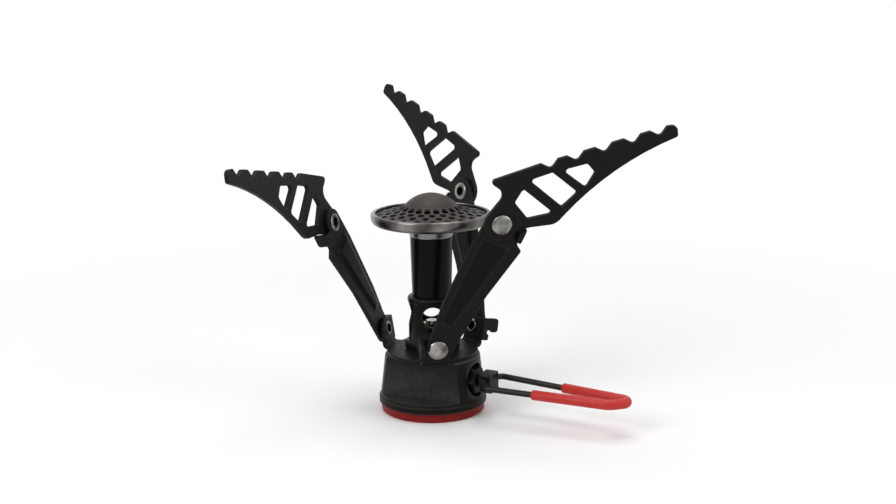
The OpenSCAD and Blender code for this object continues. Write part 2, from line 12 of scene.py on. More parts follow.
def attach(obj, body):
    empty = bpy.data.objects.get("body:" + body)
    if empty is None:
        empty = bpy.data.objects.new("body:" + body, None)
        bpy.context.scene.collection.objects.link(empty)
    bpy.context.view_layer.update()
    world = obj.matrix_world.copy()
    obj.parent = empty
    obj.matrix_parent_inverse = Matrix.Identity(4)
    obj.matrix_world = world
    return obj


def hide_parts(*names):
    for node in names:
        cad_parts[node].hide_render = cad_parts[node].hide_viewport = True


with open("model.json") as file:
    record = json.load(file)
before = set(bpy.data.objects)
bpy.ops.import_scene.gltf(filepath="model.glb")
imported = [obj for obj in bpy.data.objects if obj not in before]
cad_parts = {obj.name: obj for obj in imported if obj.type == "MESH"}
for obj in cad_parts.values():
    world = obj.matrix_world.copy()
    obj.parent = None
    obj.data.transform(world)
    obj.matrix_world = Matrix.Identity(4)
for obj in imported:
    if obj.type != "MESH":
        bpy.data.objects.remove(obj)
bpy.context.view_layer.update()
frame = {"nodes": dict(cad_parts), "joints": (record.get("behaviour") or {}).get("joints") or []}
MM = 0.001

# Base ring
# A red moulded ring under the body's flange, which sits on the canister's rim.
# Turned shape with eased edges, held between the flange and the canister.
MERGE = 0.001
SLIVER = 0.0005
SUPPORT = 0.06
EDGE_SPAN = 8


def unit(v):
    return v.normalized() if v.length > 0 else v


def polar(radius, angle, height):
    return Vector((radius * math.cos(angle), radius * math.sin(angle), height))


def rounded(corners, steps=6, closed=True, support=SUPPORT):
    """Outline through (x, y, radius) corners, each one an arc with a close support point at both ends."""
    count = len(corners)
    outline = []
    for i, (x, y, radius) in enumerate(corners):
        here = Vector((x, y))
        if radius == 0 or (not closed and i in (0, count - 1)):
            outline.append(here)
            continue
        before = unit(Vector(corners[i - 1][:2]) - here)
        after = unit(Vector(corners[(i + 1) % count][:2]) - here)
        half = math.acos(max(-1.0, min(1.0, before.dot(after)))) / 2
        centre = here + unit(before + after) * (radius / math.sin(half))
        reach = radius / math.tan(half)
        start = here + before * reach - centre
        turn = math.pi - 2 * half
        if start.y * before.x - start.x * before.y < 0:
            turn = -turn
        if support:
            outline.append(here + before * (reach + support))
        for k in range(steps + 1):
            outline.append(centre + Matrix.Rotation(turn * k / steps, 2) @ start)
        if support:
            outline.append(here + after * (reach + support))
    return outline


def skin(starts, count, loop=False):
    """Faces between rows of points, each row a closed ring of count points from its start on."""
    after = starts[1:] + starts[:1] if loop else starts[1:]
    return [(a + k, a + (k + 1) % count, b + (k + 1) % count, b + k)
            for a, b in zip(starts, after) for k in range(count)]


def turned(corners, segments=96, steps=6):
    """Closed (radius, height, corner radius) profile turned about Z, as points and faces."""
    profile = rounded(corners, steps)
    rows = len(profile)
    points = [polar(p.x, 2 * math.pi * s / segments, p.y) for s in range(segments) for p in profile]
    return points, skin(list(range(0, len(points), rows)), rows, loop=True)


def join(*shapes):
    """Several (points, faces) shapes as one."""
    points, faces = [], []
    for more_points, more_faces in shapes:
        start = len(points)
        points += more_points
        faces += [tuple(i + start for i in face) for face in more_faces]
    return points, faces


def clean(mesh):
    """Merges double points, takes out slivers and loose edges, and turns the faces outwards."""
    shape = bmesh.new()
    shape.from_mesh(mesh)
    bmesh.ops.remove_doubles(shape, verts=shape.verts, dist=MERGE * MM)
    bmesh.ops.dissolve_degenerate(shape, edges=shape.edges, dist=SLIVER * MM)
    loose = [e for e in shape.edges if not e.link_faces]
    bmesh.ops.delete(shape, geom=loose, context="EDGES")
    bmesh.ops.recalc_face_normals(shape, faces=shape.faces)
    shape.to_mesh(mesh)
    shape.free()


def new_mesh(name, shape, place=Matrix()):
    """Clean mesh in metres from (points, faces) in millimetres."""
    points, faces = shape
    mesh = bpy.data.meshes.new(name)
    mesh.from_pydata([place @ Vector(p) * MM for p in points], [], faces)
    clean(mesh)
    return mesh


def mark_edges(mesh, crease):
    """Stores how far each point lies on an outer edge, from 0 to 1, for the rubbing and the painted edge
    highlights on the finishes. An edge counts from a bend of crease degrees on, and fully EDGE_SPAN
    degrees later."""
    shape = bmesh.new()
    shape.from_mesh(mesh)
    rub_and_highlight = mesh.attributes.new("edge", "FLOAT", "POINT")
    for v in shape.verts:
        angles = [e.calc_face_angle_signed(0.0) for e in v.link_edges if e.is_manifold]
        bend = math.degrees(max(angles, default=0.0))
        rub_and_highlight.data[v.index].value = max(0.0, min(1.0, (bend - crease) / EDGE_SPAN))
    shape.free()


def fit(name, mesh, finish, body, slot, *nodes, sharp=40, crease=9):
    """Piece from a finished mesh: shaded, painted, riding on its body in place of its CAD nodes."""
    clean(mesh)
    mesh.polygons.foreach_set("use_smooth", [True] * len(mesh.polygons))
    mesh.set_sharp_from_angle(angle=math.radians(sharp))
    mark_edges(mesh, crease)
    mesh.materials.clear()
    mesh.materials.append(finish)
    piece = bpy.data.objects.new(name, mesh)
    bpy.context.scene.collection.objects.link(piece)
    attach(piece, body)
    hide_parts(*nodes)


def grow(tree, kind, inputs, **settings):
    """Adds a node to a tree. An input is a value, or another node's output."""
    made = tree.nodes.new(kind)
    for key, value in settings.items():
        setattr(made, key, value)
    for key, value in inputs.items():
        if isinstance(value, bpy.types.NodeSocket):
            tree.links.new(value, made.inputs[key])
        else:
            made.inputs[key].default_value = value
    return made


def add(finish, kind, inputs, **settings):
    """Adds a node to a finish."""
    return grow(finish.node_tree, "ShaderNode" + kind, inputs, **settings)


def new_finish(name, colour, roughness, metallic=0.0, specular=0.5):
    """Material with its constants on the shader itself."""
    finish = bpy.data.materials.new(name)
    finish.use_nodes = True
    shader = finish.node_tree.nodes["Principled BSDF"]
    shader.inputs["Base Color"].default_value = (*colour, 1)
    shader.inputs["Roughness"].default_value = roughness
    shader.inputs["Metallic"].default_value = metallic
    shader.inputs["Specular IOR Level"].default_value = specular
    return finish


def connect(finish, socket, value):
    shader = finish.node_tree.nodes["Principled BSDF"]
    finish.node_tree.links.new(value, shader.inputs[socket])


def place_of(finish):
    return add(finish, "TexCoord", {}).outputs["Object"]


def stored(finish, name):
    """Value that the mesh stores at each point under a name, or 0."""
    return add(finish, "Attribute", {}, attribute_name=name).outputs["Fac"]


def speckle(finish, scale, detail=3.0, where=None):
    """Noise from 0 to 1 over the piece, with scale in patches a metre."""
    where = where or place_of(finish)
    return add(finish, "TexNoise", {"Vector": where, "Scale": scale, "Detail": detail}).outputs["Fac"]


def turning(finish, scale, detail=4.0):
    """Fine rings round the burner axis, as a lathe leaves them."""
    parts = add(finish, "SeparateXYZ", {"Vector": place_of(finish)})
    flat = add(finish, "CombineXYZ", {"X": parts.outputs["X"], "Y": parts.outputs["Y"]})
    radius = add(finish, "VectorMath", {0: flat.outputs[0]}, operation="LENGTH")
    rings = add(finish, "CombineXYZ", {"X": radius.outputs["Value"], "Z": parts.outputs["Z"]})
    return speckle(finish, scale, detail, rings.outputs[0])


def spread(finish, value, low, high):
    """Maps the middle half of a 0 to 1 value onto a range."""
    return add(finish, "MapRange", {"Value": value, "From Min": 0.25, "From Max": 0.75, "To Min": low,
                                    "To Max": high}).outputs["Result"]


def blend_colours(finish, share, first, second):
    """Mixes two colours, each a value or another node's output."""
    mix = add(finish, "Mix", {0: share}, data_type="RGBA")
    for socket, colour in ((mix.inputs[6], first), (mix.inputs[7], second)):
        if isinstance(colour, bpy.types.NodeSocket):
            finish.node_tree.links.new(colour, socket)
        else:
            socket.default_value = (*colour, 1)
    return mix.outputs[2]


def raise_grain(finish, height, depth):
    """Bump from a 0 to 1 height, with the depth in millimetres."""
    bump = add(finish, "Bump", {"Height": height, "Distance": depth * MM, "Strength": 1.0})
    connect(finish, "Normal", bump.outputs["Normal"])


def rub_and_highlight_share(finish, least, scale):
    """Share of rubbing and painted highlight on the outer edges, uneven from the least share up to 1."""
    uneven = spread(finish, speckle(finish, scale), least, 1.0)
    return add(finish, "Math", {0: stored(finish, "edge"), 1: uneven}, operation="MULTIPLY").outputs[0]


def coat(name, dark, light, patches, shine, grain=None, edge=None, rub_and_highlight=(0.35, 500.0), lathe=False,
         patchy=False, painted_light=None, metallic=0.0, specular=0.5):
    """Finish between two tones in patches, with rubbing on the edges, an uneven shine and a fine grain.
    shine is (scale, least and most roughness) and grain is (scale, depth), each followed by a noise
    detail where that isn't the usual one. A lathe finish has both as rings round the burner axis.
    On some finishes the edges are partly a painted highlight, and patches spread to full contrast on
    bare steel are painted reflections. A function given for painted light changes the colour under
    the edges, to paint shade or highlight into it."""
    scale, least, most, *detail = shine
    middle = [(a + b) / 2 for a, b in zip(dark, light)]
    finish = new_finish(name, middle, (least + most) / 2, metallic, specular)
    share = speckle(finish, patches)
    if patchy:
        share = spread(finish, share, 0.0, 1.0)
    colour = blend_colours(finish, share, dark, light)
    if painted_light:
        colour = painted_light(finish, colour)
    if edge:
        colour = blend_colours(finish, rub_and_highlight_share(finish, *rub_and_highlight), colour, edge)
    connect(finish, "Base Color", colour)
    noise = turning if lathe else speckle
    connect(finish, "Roughness", spread(finish, noise(finish, scale, *detail), least, most))
    if grain:
        scale, depth, *detail = grain
        raise_grain(finish, noise(finish, scale, *detail), depth)
    return finish


BASE_R = 17.2
BASE_BORE_R = 13.5
BASE_H = 2.9
base_ring = turned([(BASE_BORE_R, 0, 0.5), (BASE_R, 0, 0.7), (BASE_R, BASE_H, 0.15),
                    (BASE_BORE_R, BASE_H, 0.1)], segments=128)
ring_red = coat("ring_red", (0.18, 0.009, 0.009), (0.24, 0.013, 0.013), 260, (2400, 0.34, 0.5),
                (5200, 0.004), edge=(0.3, 0.024, 0.022), lathe=True, specular=0.12)
fit("red_base_ring", new_mesh("base_ring", base_ring), ring_red, "stove", "red_ring", "base_ring")

# Canister inlet
# The brass collar that screws on the canister, with its cut thread, the rubber seal at
# the thread's end and the turned pin that pushes the canister's valve open.


def inner_thread(crest_r, root_r, pitch, length, segments, rows_a_turn=8):
    """Rows of points on a helical groove inside a bore, from its mouth at height 0 upwards."""
    rows = int(length / pitch * rows_a_turn) + 1
    points = []
    for k in range(rows):
        height = length * k / (rows - 1)
        ease = min(1.0, 2 * height / pitch, 2 * (length - height) / pitch)
        for s in range(segments):
            phase = (height / pitch - s / segments) % 1
            groove = max(0.0, min(1.0, 2.4 * (0.5 - abs(phase - 0.5)) - 0.1))
            radius = crest_r + (root_r - crest_r) * groove * ease
            points.append(polar(radius, 2 * math.pi * s / segments, height))
    return points


INLET_R = 8.0
INLET_TOP_Z = 9.2
INLET_ROOF_Z = 8.2
THREAD_R = 5.07
THREAD_ROOT_R = 5.5
THREAD_PITCH = 25.4 / 28
THREAD_LEN = 4.8
THREAD_SIDES = 72
RELIEF_R = 5.47
PIN_SEAT_R = 2.0
inlet_points = inner_thread(THREAD_R, THREAD_ROOT_R, THREAD_PITCH, THREAD_LEN, THREAD_SIDES)
inlet_outside = rounded([(THREAD_R, THREAD_LEN, 0), (RELIEF_R, THREAD_LEN, 0),
                         (RELIEF_R, INLET_ROOF_Z, 0.1), (PIN_SEAT_R, INLET_ROOF_Z, 0),
                         (PIN_SEAT_R, INLET_TOP_Z, 0), (INLET_R, INLET_TOP_Z, 0.1), (INLET_R, 0, 0.4),
                         (THREAD_R, 0, 0)])[1:-1]
for p in inlet_outside:
    inlet_points += [polar(p.x, 2 * math.pi * s / THREAD_SIDES, p.y) for s in range(THREAD_SIDES)]
inlet_faces = skin(list(range(0, len(inlet_points), THREAD_SIDES)), THREAD_SIDES, loop=True)
brass = coat("machined_brass", (0.44, 0.28, 0.1), (0.63, 0.45, 0.19), 380, (3000, 0.2, 0.42), (6000, 0.003),
             edge=(0.74, 0.58, 0.3), lathe=True, metallic=1.0)
fit("threaded_inlet", new_mesh("canister_inlet", (inlet_points, inlet_faces)), brass, "stove", "brass",
    "canister_inlet")

SEAL_H = 1.2
SEAL_R = 5.42
SEAL_BORE_R = 3.0
seal = turned([(SEAL_BORE_R, INLET_ROOF_Z - SEAL_H, 0.35), (SEAL_R, INLET_ROOF_Z - SEAL_H, 0.35),
               (SEAL_R, INLET_ROOF_Z, 0.2), (SEAL_BORE_R, INLET_ROOF_Z, 0.2)], segments=64)
rubber = coat("seal_rubber", (0.009, 0.009, 0.009), (0.022, 0.021, 0.02), 700, (700, 0.6, 0.82),
              (4200, 0.006), specular=0.3)
fit("canister_rubber_seal", new_mesh("canister_seal", seal), rubber, "stove", "rubber", "canister_seal")

PIN_R = 0.9
PIN_TIP_Z = 5.3
PUSH_GAP = 0.03
PIN_HEAD_R = PIN_SEAT_R - PUSH_GAP
pin = turned([(0, PIN_TIP_Z, 0), (PIN_R, PIN_TIP_Z, 0.35), (PIN_R, INLET_ROOF_Z, 0.1),
              (PIN_HEAD_R, INLET_ROOF_Z, 0.08), (PIN_HEAD_R, INLET_TOP_Z, 0.1), (0, INLET_TOP_Z, 0)],
             segments=32)
fit("valve_opening_pin", new_mesh("depressor_pin", pin), brass, "stove", "brass", "depressor_pin")

# Valve body
# The black cast and turned body that holds the valve: a flange, a slightly tapered wall with
# one milled flat, a round pocket for the gland nut and a neck for the burner above.


def worked(mesh, kind, values=None, **settings):
    """Mesh that a modifier makes of a mesh, with its settings and the values of its own inputs."""
    blank = bpy.data.objects.new("blank", mesh)
    bpy.context.scene.collection.objects.link(blank)
    modifier = blank.modifiers.new("work", kind)
    for key, value in settings.items():
        setattr(modifier, key, value)
    for key, value in (values or {}).items():
        modifier[key] = value
    made = bpy.data.meshes.new_from_object(blank.evaluated_get(bpy.context.evaluated_depsgraph_get()))
    blank.modifiers.remove(modifier)
    bpy.data.objects.remove(blank)
    return made


def carve(mesh, cutter):
    """Takes a cutter's closed mesh out of a mesh."""
    tool = bpy.data.objects.new("cutter", cutter)
    bpy.context.scene.collection.objects.link(tool)
    carved = worked(mesh, "BOOLEAN", object=tool, operation="DIFFERENCE", solver="EXACT")
    bpy.data.objects.remove(tool)
    return carved


def block(low, high):
    """Plain box between two corners, as points and faces."""
    points = [Vector((x, y, z)) for x in (low[0], high[0]) for y in (low[1], high[1])
              for z in (low[2], high[2])]
    faces = [(0, 1, 3, 2), (4, 6, 7, 5), (0, 4, 5, 1), (2, 3, 7, 6), (0, 2, 6, 4), (1, 5, 7, 3)]
    return points, faces


FLANGE_R = 18.0
FLANGE_TOP_Z = 5.0
FOOT_R = 17.4
FOOT_Z = 5.5
BODY_TOP_R = 15.8
BODY_TOP_Z = 19.4
NECK_R = 5.8
NECK_TOP_Z = 26.0
FLAT_DIST = 10.4
FLAT_TURN = math.radians(-85)
FLAT_FLOOR_Z = 6.3
FLAT_EASE = 0.4
STEM_Z = 11.8
POCKET_R = 5.6
POCKET_X = 13.5
FAR = 2 * FLANGE_R
body_blank = turned([(0, INLET_TOP_Z, 0), (INLET_R, INLET_TOP_Z, 0.1), (INLET_R, BASE_H, 0.1),
                     (FLANGE_R, BASE_H, 0.5), (FLANGE_R, FLANGE_TOP_Z, 0.6), (FOOT_R, FOOT_Z, 0.5),
                     (BODY_TOP_R, BODY_TOP_Z, 0.9), (NECK_R, BODY_TOP_Z, 0), (NECK_R, NECK_TOP_Z, 0.3),
                     (0, NECK_TOP_Z, 0)], segments=128, steps=4)
flat_cutter = block((FLAT_DIST, -FAR, FLAT_FLOOR_Z), (FAR, FAR, 2 * BODY_TOP_Z))
body = carve(new_mesh("valve_body", body_blank),
             new_mesh("flat", flat_cutter, Matrix.Rotation(FLAT_TURN, 4, "Z")))
body = worked(body, "BEVEL", width=FLAT_EASE * MM, segments=3, limit_method="ANGLE",
              angle_limit=math.radians(30))
along_x = Matrix.Translation((0, 0, STEM_Z)) @ Matrix.Rotation(math.pi / 2, 4, "Y")
pocket = turned([(0, POCKET_X, 0), (POCKET_R, POCKET_X, 0.5), (POCKET_R, FAR, 0), (0, FAR, 0)], segments=64)
body = carve(body, new_mesh("pocket", pocket, along_x))
# The body's lighter edges are partly rubbing and partly a painted highlight along its rims and the flat.
casting = coat("black_casting", (0.0048, 0.0042, 0.0034), (0.006, 0.0053, 0.0043), 170, (700, 0.36, 0.46),
               (3200, 0.003, 4.0), edge=(0.05, 0.047, 0.043), rub_and_highlight=(0.5, 500.0), specular=0.09)
fit("black_valve_body", body, casting, "stove", "black_body", "valve_body", sharp=35)

# Gland nut and stem seal
# The hexagonal nut screwed into the pocket, blackened, that squeezes a rubber ring
# round the valve stem.


def hex_bar(flats, low, high, bore, chamfer=0.5, segments=72):
    """Hexagonal bar along Z with a bore and corners turned off, most at both ends."""
    end_share, side_share = 0.94, 0.985
    corner = flats / math.sqrt(3)
    rows = ((0, low), (end_share, low), (side_share, low + chamfer), (side_share, high - chamfer),
            (end_share, high), (0, high))
    points = []
    for share, height in rows:
        for s in range(segments):
            angle = 2 * math.pi * s / segments
            side = (angle + math.pi / 6) % (math.pi / 3) - math.pi / 6
            radius = min(flats / 2 / math.cos(side), corner * share) if share else bore
            points.append(polar(radius, angle, height))
    return points, skin(list(range(0, len(points), segments)), segments, loop=True)


def black_fitting(name, specular, edge_shade):
    """Blackened steel, with the tone of its edges: rubbing, and on the stem block partly a painted
    highlight.
    """
    edge_rub_and_highlight = (edge_shade, 0.95 * edge_shade, 0.9 * edge_shade)
    return coat(name, (0.0032, 0.003, 0.0027), (0.0055, 0.005, 0.0045), 600, (1800, 0.28, 0.46),
                (5000, 0.004), edge=edge_rub_and_highlight, rub_and_highlight=(0.1, 1500), specular=specular)


def repaint(name, finish):
    """Gives a CAD node that stays in sight its finish."""
    mesh = frame["nodes"][name].data
    mesh.materials.clear()
    mesh.materials.append(finish)


GLAND_FLATS = 8.0
GLAND_END_X = 17.2
GLAND_THREAD_R = 3.2
GLAND_FOOT_X = 9.5
GLAND_LAP = 0.4
STEM_R = 2.0
TURN_GAP = 0.05
gland_bore = STEM_R + TURN_GAP
gland = join(hex_bar(GLAND_FLATS, POCKET_X, GLAND_END_X, gland_bore),
             turned([(gland_bore + TURN_GAP, GLAND_FOOT_X, 0.1), (GLAND_THREAD_R, GLAND_FOOT_X, 0.3),
                     (GLAND_THREAD_R, POCKET_X + GLAND_LAP, 0),
                     (gland_bore + TURN_GAP, POCKET_X + GLAND_LAP, 0)], segments=72))
fitting = black_fitting("black_fitting", 0.04, 0.03)
fit("hex_gland_nut", new_mesh("gland_nut", gland, along_x), fitting, "stove", "black_fittings", "gland_nut",
    sharp=25)
repaint("stem_seal", rubber)

# Support ring
# One stamped and folded plate of black steel on the body: a flat ring with three ears bent up
# for the arms, and a narrow hook bent forward from each ear that stops the arm.


def ring_area(outline):
    """Twice the signed area of an outline."""
    return sum(a.x * b.y - a.y * b.x for a, b in zip(outline, outline[1:] + outline[:1]))


def drawn_in(outline, distance):
    """Outline moved to its left by a distance, so that one that runs anticlockwise shrinks."""
    moved = []
    for i, here in enumerate(outline):
        into = unit(here - outline[i - 1])
        out = unit(outline[(i + 1) % len(outline)] - here)
        normal = unit(Vector((-into.y - out.y, into.x + out.x)))
        lean = max(0.5, normal.dot(Vector((-into.y, into.x))))
        moved.append(here + normal * (distance / lean))
    return moved


def spaced(outline, longest):
    """Outline with its long stretches divided."""
    points = []
    for a, b in zip(outline, outline[1:] + outline[:1]):
        parts = max(1, math.ceil((b - a).length / longest))
        points += [a.lerp(b, k / parts) for k in range(parts)]
    return points


def sheet_metal(outlines, thickness, place, edge=0.22, spacing=1.0, grid=0.0, steps=3):
    """Closed sheet with eased edges. The first outline is the outside and the rest are holes, and no
    corner is tighter than the edge. place(x, y, height) puts a point of the flat sheet, at a height from
    its middle, in space. A grid adds inner points to a sheet that is bent or pressed."""
    half = thickness / 2
    levels = [(edge + SUPPORT, half)]
    for k in range(steps, -1, -1):
        angle = math.pi / 2 * k / steps
        levels.append((edge * (1 - math.cos(angle)), half - edge + edge * math.sin(angle)))
    levels.append((0, half - edge - SUPPORT))
    levels += [(inset, -height) for inset, height in reversed(levels)]
    points, faces, flat, top_index, bottom_index, fence = [], [], [], [], [], []
    for i, outline in enumerate(outlines):
        loop = spaced(outline, spacing)
        if (ring_area(loop) > 0) != (i == 0):
            loop.reverse()
        count = len(loop)
        rows = []
        for inset, height in levels:
            rows.append(len(points))
            points += [place(p.x, p.y, height) for p in drawn_in(loop, inset)]
        faces += skin(rows, count)
        fence.append(list(range(len(flat), len(flat) + count)))
        flat += drawn_in(loop, levels[0][0])
        top_index += range(rows[0], rows[0] + count)
        bottom_index += range(rows[-1], rows[-1] + count)
    rim_count = len(flat)
    if grid:
        xs = [p.x for p in flat]
        ys = [p.y for p in flat]
        rim_cells = {(round(p.x / grid), round(p.y / grid)) for p in flat}
        for i in range(math.floor(min(xs) / grid), math.ceil(max(xs) / grid) + 1):
            for j in range(math.floor(min(ys) / grid), math.ceil(max(ys) / grid) + 1):
                if (i, j) not in rim_cells:
                    flat.append(Vector((i * grid, j * grid)))
    inside_with_holes = 2
    made = delaunay_2d_cdt(flat, [], fence, inside_with_holes, 1e-5)
    made_points, made_faces, sources = made[0], made[2], made[3]
    for index, side in ((top_index, half), (bottom_index, -half)):
        where = {}
        for face in made_faces:
            for k in face:
                if k not in where:
                    old = [i for i in sources[k] if i < rim_count]
                    if old:
                        where[k] = index[old[0]]
                    else:
                        where[k] = len(points)
                        points.append(place(made_points[k].x, made_points[k].y, side))
            faces.append(tuple(where[k] for k in face))
    return points, faces


# The first tone is for the sheet's edges and the painted highlight on its channel walls, the second for the
# painted shade on the channel floors.
SHEET_EDGE_AND_HIGHLIGHT = (0.022, 0.0205, 0.0185)
SHEET_PAINTED_FLOOR_SHADE = (0.0028, 0.0025, 0.002)


def channel_painted_light(finish, colour):
    """Colour with a painted highlight along the walls and painted shade on the floor where a channel is
    pressed in the sheet.
    """
    depth = stored(finish, "channel")
    painted_lip_highlight = add(finish, "MapRange", {"Value": depth, "From Max": 0.25, "To Max": 0.2}).outputs["Result"]
    colour = blend_colours(finish, painted_lip_highlight, colour, SHEET_EDGE_AND_HIGHLIGHT)
    painted_floor_shade = add(finish, "MapRange", {"Value": depth, "From Min": 0.25, "From Max": 0.7}).outputs["Result"]
    return blend_colours(finish, painted_floor_shade, colour, SHEET_PAINTED_FLOOR_SHADE)


def circle(centre, radius, steps):
    return [Vector(centre) + polar(radius, 2 * math.pi * k / steps, 0).xy for k in range(steps)]


joints = {joint["name"]: joint for joint in frame["joints"]}


def hinge_frame(number):
    """Frame of an arm's lower hinge: X level, Y up in the hinge plane, Z along the axis, in millimetres."""
    joint = joints[f"arm_{number}_fold"]
    axis = Vector(joint["axis"])
    across = unit(Vector((0, 0, 1)).cross(axis))
    turn = Matrix((across, axis.cross(across), axis)).transposed().to_4x4()
    return Matrix.Translation(Vector(joint["pos_m"]) / MM) @ turn


def bearing(hinge):
    """Angle of a hinge frame's level X axis round the burner axis."""
    return math.atan2(hinge.col[0].y, hinge.col[0].x)


RING_T = 1.2
RING_R = 15.2
RING_BORE_R = 5.83
RING_MID_Z = BODY_TOP_Z + RING_T / 2
EAR_MID = -2.2
EAR_BEND_R = 1.2
HOOK_BEND_R = 0.9
HOOK_MID_X = -5.4
HOOK_REACH = 3.7
HOOK_TOP = 3.2
HOOK_LOW = -4.2
RIVET_R = 1.6
TAB_SIDE_IN = -5.2
TAB_SIDE_OUT = 4.2
TAB_SPAN = 14
FOLD_MARGIN = 0.5
EAR_SIDE_IN = HOOK_MID_X + HOOK_BEND_R

# Where the fold of an ear starts on the ring and ends on the ear, from the hinge frame itself.
first_hinge = hinge_frame(1)
splay = math.asin(-first_hinge.col[2].z)
hinge_out = -(Matrix.Rotation(-bearing(first_hinge), 4, "Z") @ first_hinge.translation).y
ear_turn = math.pi / 2 - splay
fold_at_y = (RING_MID_Z - first_hinge.translation.z + EAR_MID * math.sin(splay)) / math.cos(splay)
fold_at_out = hinge_out + EAR_MID * math.cos(splay) + fold_at_y * math.sin(splay)
fold_reach = EAR_BEND_R * math.tan(ear_turn / 2)
fold_start = fold_at_out - fold_reach
fold_end_y = fold_at_y + fold_reach
fold_len = EAR_BEND_R * ear_turn
hook_len = HOOK_BEND_R * math.pi / 2


def ear_run(y):
    """Distance along the flat plate from the burner axis to a height on an ear."""
    return fold_start + fold_len + y - fold_end_y


def hook_run(reach):
    """Place along the flat plate of a point on the hook, by its reach along the hinge axis."""
    return EAR_SIDE_IN - hook_len - reach + EAR_MID + HOOK_BEND_R


def fold_ring(number):
    """Puts a point of one third of the flat plate in space, through the bends of its ear and hook."""
    hinge = hinge_frame(number)
    shift = Matrix.Rotation(-bearing(hinge), 4, "Z")
    side = (shift @ hinge.translation).x
    back = shift.inverted()

    def place(x, run, height):
        if run <= fold_start:
            return back @ Vector((x + side, -run, RING_MID_Z + height))
        if run < fold_start + fold_len:
            angle = (run - fold_start) / EAR_BEND_R
            out = fold_start + (EAR_BEND_R - height) * math.sin(angle)
            rise = EAR_BEND_R - (EAR_BEND_R - height) * math.cos(angle)
            return back @ Vector((x + side, -out, RING_MID_Z + rise))
        y = run - fold_start - fold_len + fold_end_y
        if x >= EAR_SIDE_IN:
            return hinge @ Vector((x, y, EAR_MID - height))
        past = EAR_SIDE_IN - x
        if past < hook_len:
            angle = past / HOOK_BEND_R
            swing = HOOK_BEND_R + height
            return hinge @ Vector((EAR_SIDE_IN - swing * math.sin(angle), y,
                                   EAR_MID + HOOK_BEND_R - swing * math.cos(angle)))
        return hinge @ Vector((HOOK_MID_X - height, y, EAR_MID + HOOK_BEND_R + past - hook_len))

    return place, side


places = {number: fold_ring(number) for number in (1, 2, 3)}
side = places[1][1]
third = math.radians(120)

# Flat outline of a tab with its ear and hook, from the ring's edge on one side to its edge on the other.
ear = [(3.8, -1, 1.5), (3.8, 3.6, 3.4)]
hook = [(HOOK_REACH, HOOK_TOP, 1.3), (HOOK_REACH, -1.5, 1.0), (1.2, -1.5, 0.5), (0.6, -0.8, 0.4),
        (-1.0, -0.8, 0.4), (-1.0, -2.1, 0.35), (-0.2, -2.1, 0.4), (-0.2, HOOK_LOW, 0.6)]
in_meet = math.sqrt(RING_R ** 2 - (TAB_SIDE_IN + side) ** 2)
out_meet = math.sqrt(RING_R ** 2 - (TAB_SIDE_OUT + side) ** 2)
tab = [(TAB_SIDE_OUT, out_meet, 0), (TAB_SIDE_OUT, fold_start, 0.4)]
tab += [(x, ear_run(y), r) for x, y, r in ear]
tab += [(hook_run(m), ear_run(y), r) for m, y, r in hook]
tab += [(EAR_SIDE_IN, ear_run(HOOK_LOW), 0.25), (EAR_SIDE_IN, ear_run(fold_end_y), 0.5),
        (TAB_SIDE_IN, fold_start, 0.4), (TAB_SIDE_IN, in_meet, 0)]
outline = rounded([(x + side, -run, r) for x, run, r in tab], 5, closed=False, support=0)
arc_from = math.atan2(-in_meet, TAB_SIDE_IN + side)
arc_to = math.atan2(-out_meet, TAB_SIDE_OUT + side) - third
arc_steps = 40
arc_angles = [arc_from + (arc_to - arc_from) * k / arc_steps for k in range(1, arc_steps)]
outline += [polar(RING_R, angle, 0).xy for angle in arc_angles]
plate, ear_holes = [], []
for number in (1, 3, 2):
    turn = Matrix.Rotation(third * (number - 1), 2)
    plate += [turn @ p for p in outline]
    ear_holes.append([turn @ p for p in circle((side, -ear_run(0)), RIVET_R + PUSH_GAP, 32)])


def fold_plate(x, y, height):
    """Puts a point of the whole flat plate in space, by the third that it lies in."""
    here = Vector((x, y))
    for number in (1, 2, 3):
        local = Matrix.Rotation(-third * (number - 1), 2) @ here
        if -local.y > fold_start - FOLD_MARGIN and abs(local.x - side) < TAB_SPAN:
            return places[number][0](local.x - side, -local.y, height)
    flat = Matrix.Rotation(bearing(first_hinge), 2) @ here
    return Vector((flat.x, flat.y, RING_MID_Z + height))


support_ring = sheet_metal([plate, circle((0, 0), RING_BORE_R, 64), *ear_holes], RING_T, fold_plate,
                           grid=0.45, spacing=0.6)
# Pressed channels get a painted highlight on their walls and painted shade on their floors.
sheet = coat("black_sheet", (0.006, 0.0053, 0.0041), (0.0077, 0.0068, 0.0053), 140, (700, 0.4, 0.52),
             (3000, 0.003, 4.0), edge=SHEET_EDGE_AND_HIGHLIGHT, painted_light=channel_painted_light, specular=0.1)
fit("folded_support_ring", new_mesh("support_ring", support_ring), sheet, "stove", "black_sheet",
    "support_ring", sharp=50, crease=22)

# Mixing sleeve
# Black turned sleeve screwed on the body's neck: a hexagonal foot for the spanner,
# four drilled air holes and a rounded band at the top that takes the burner tube.


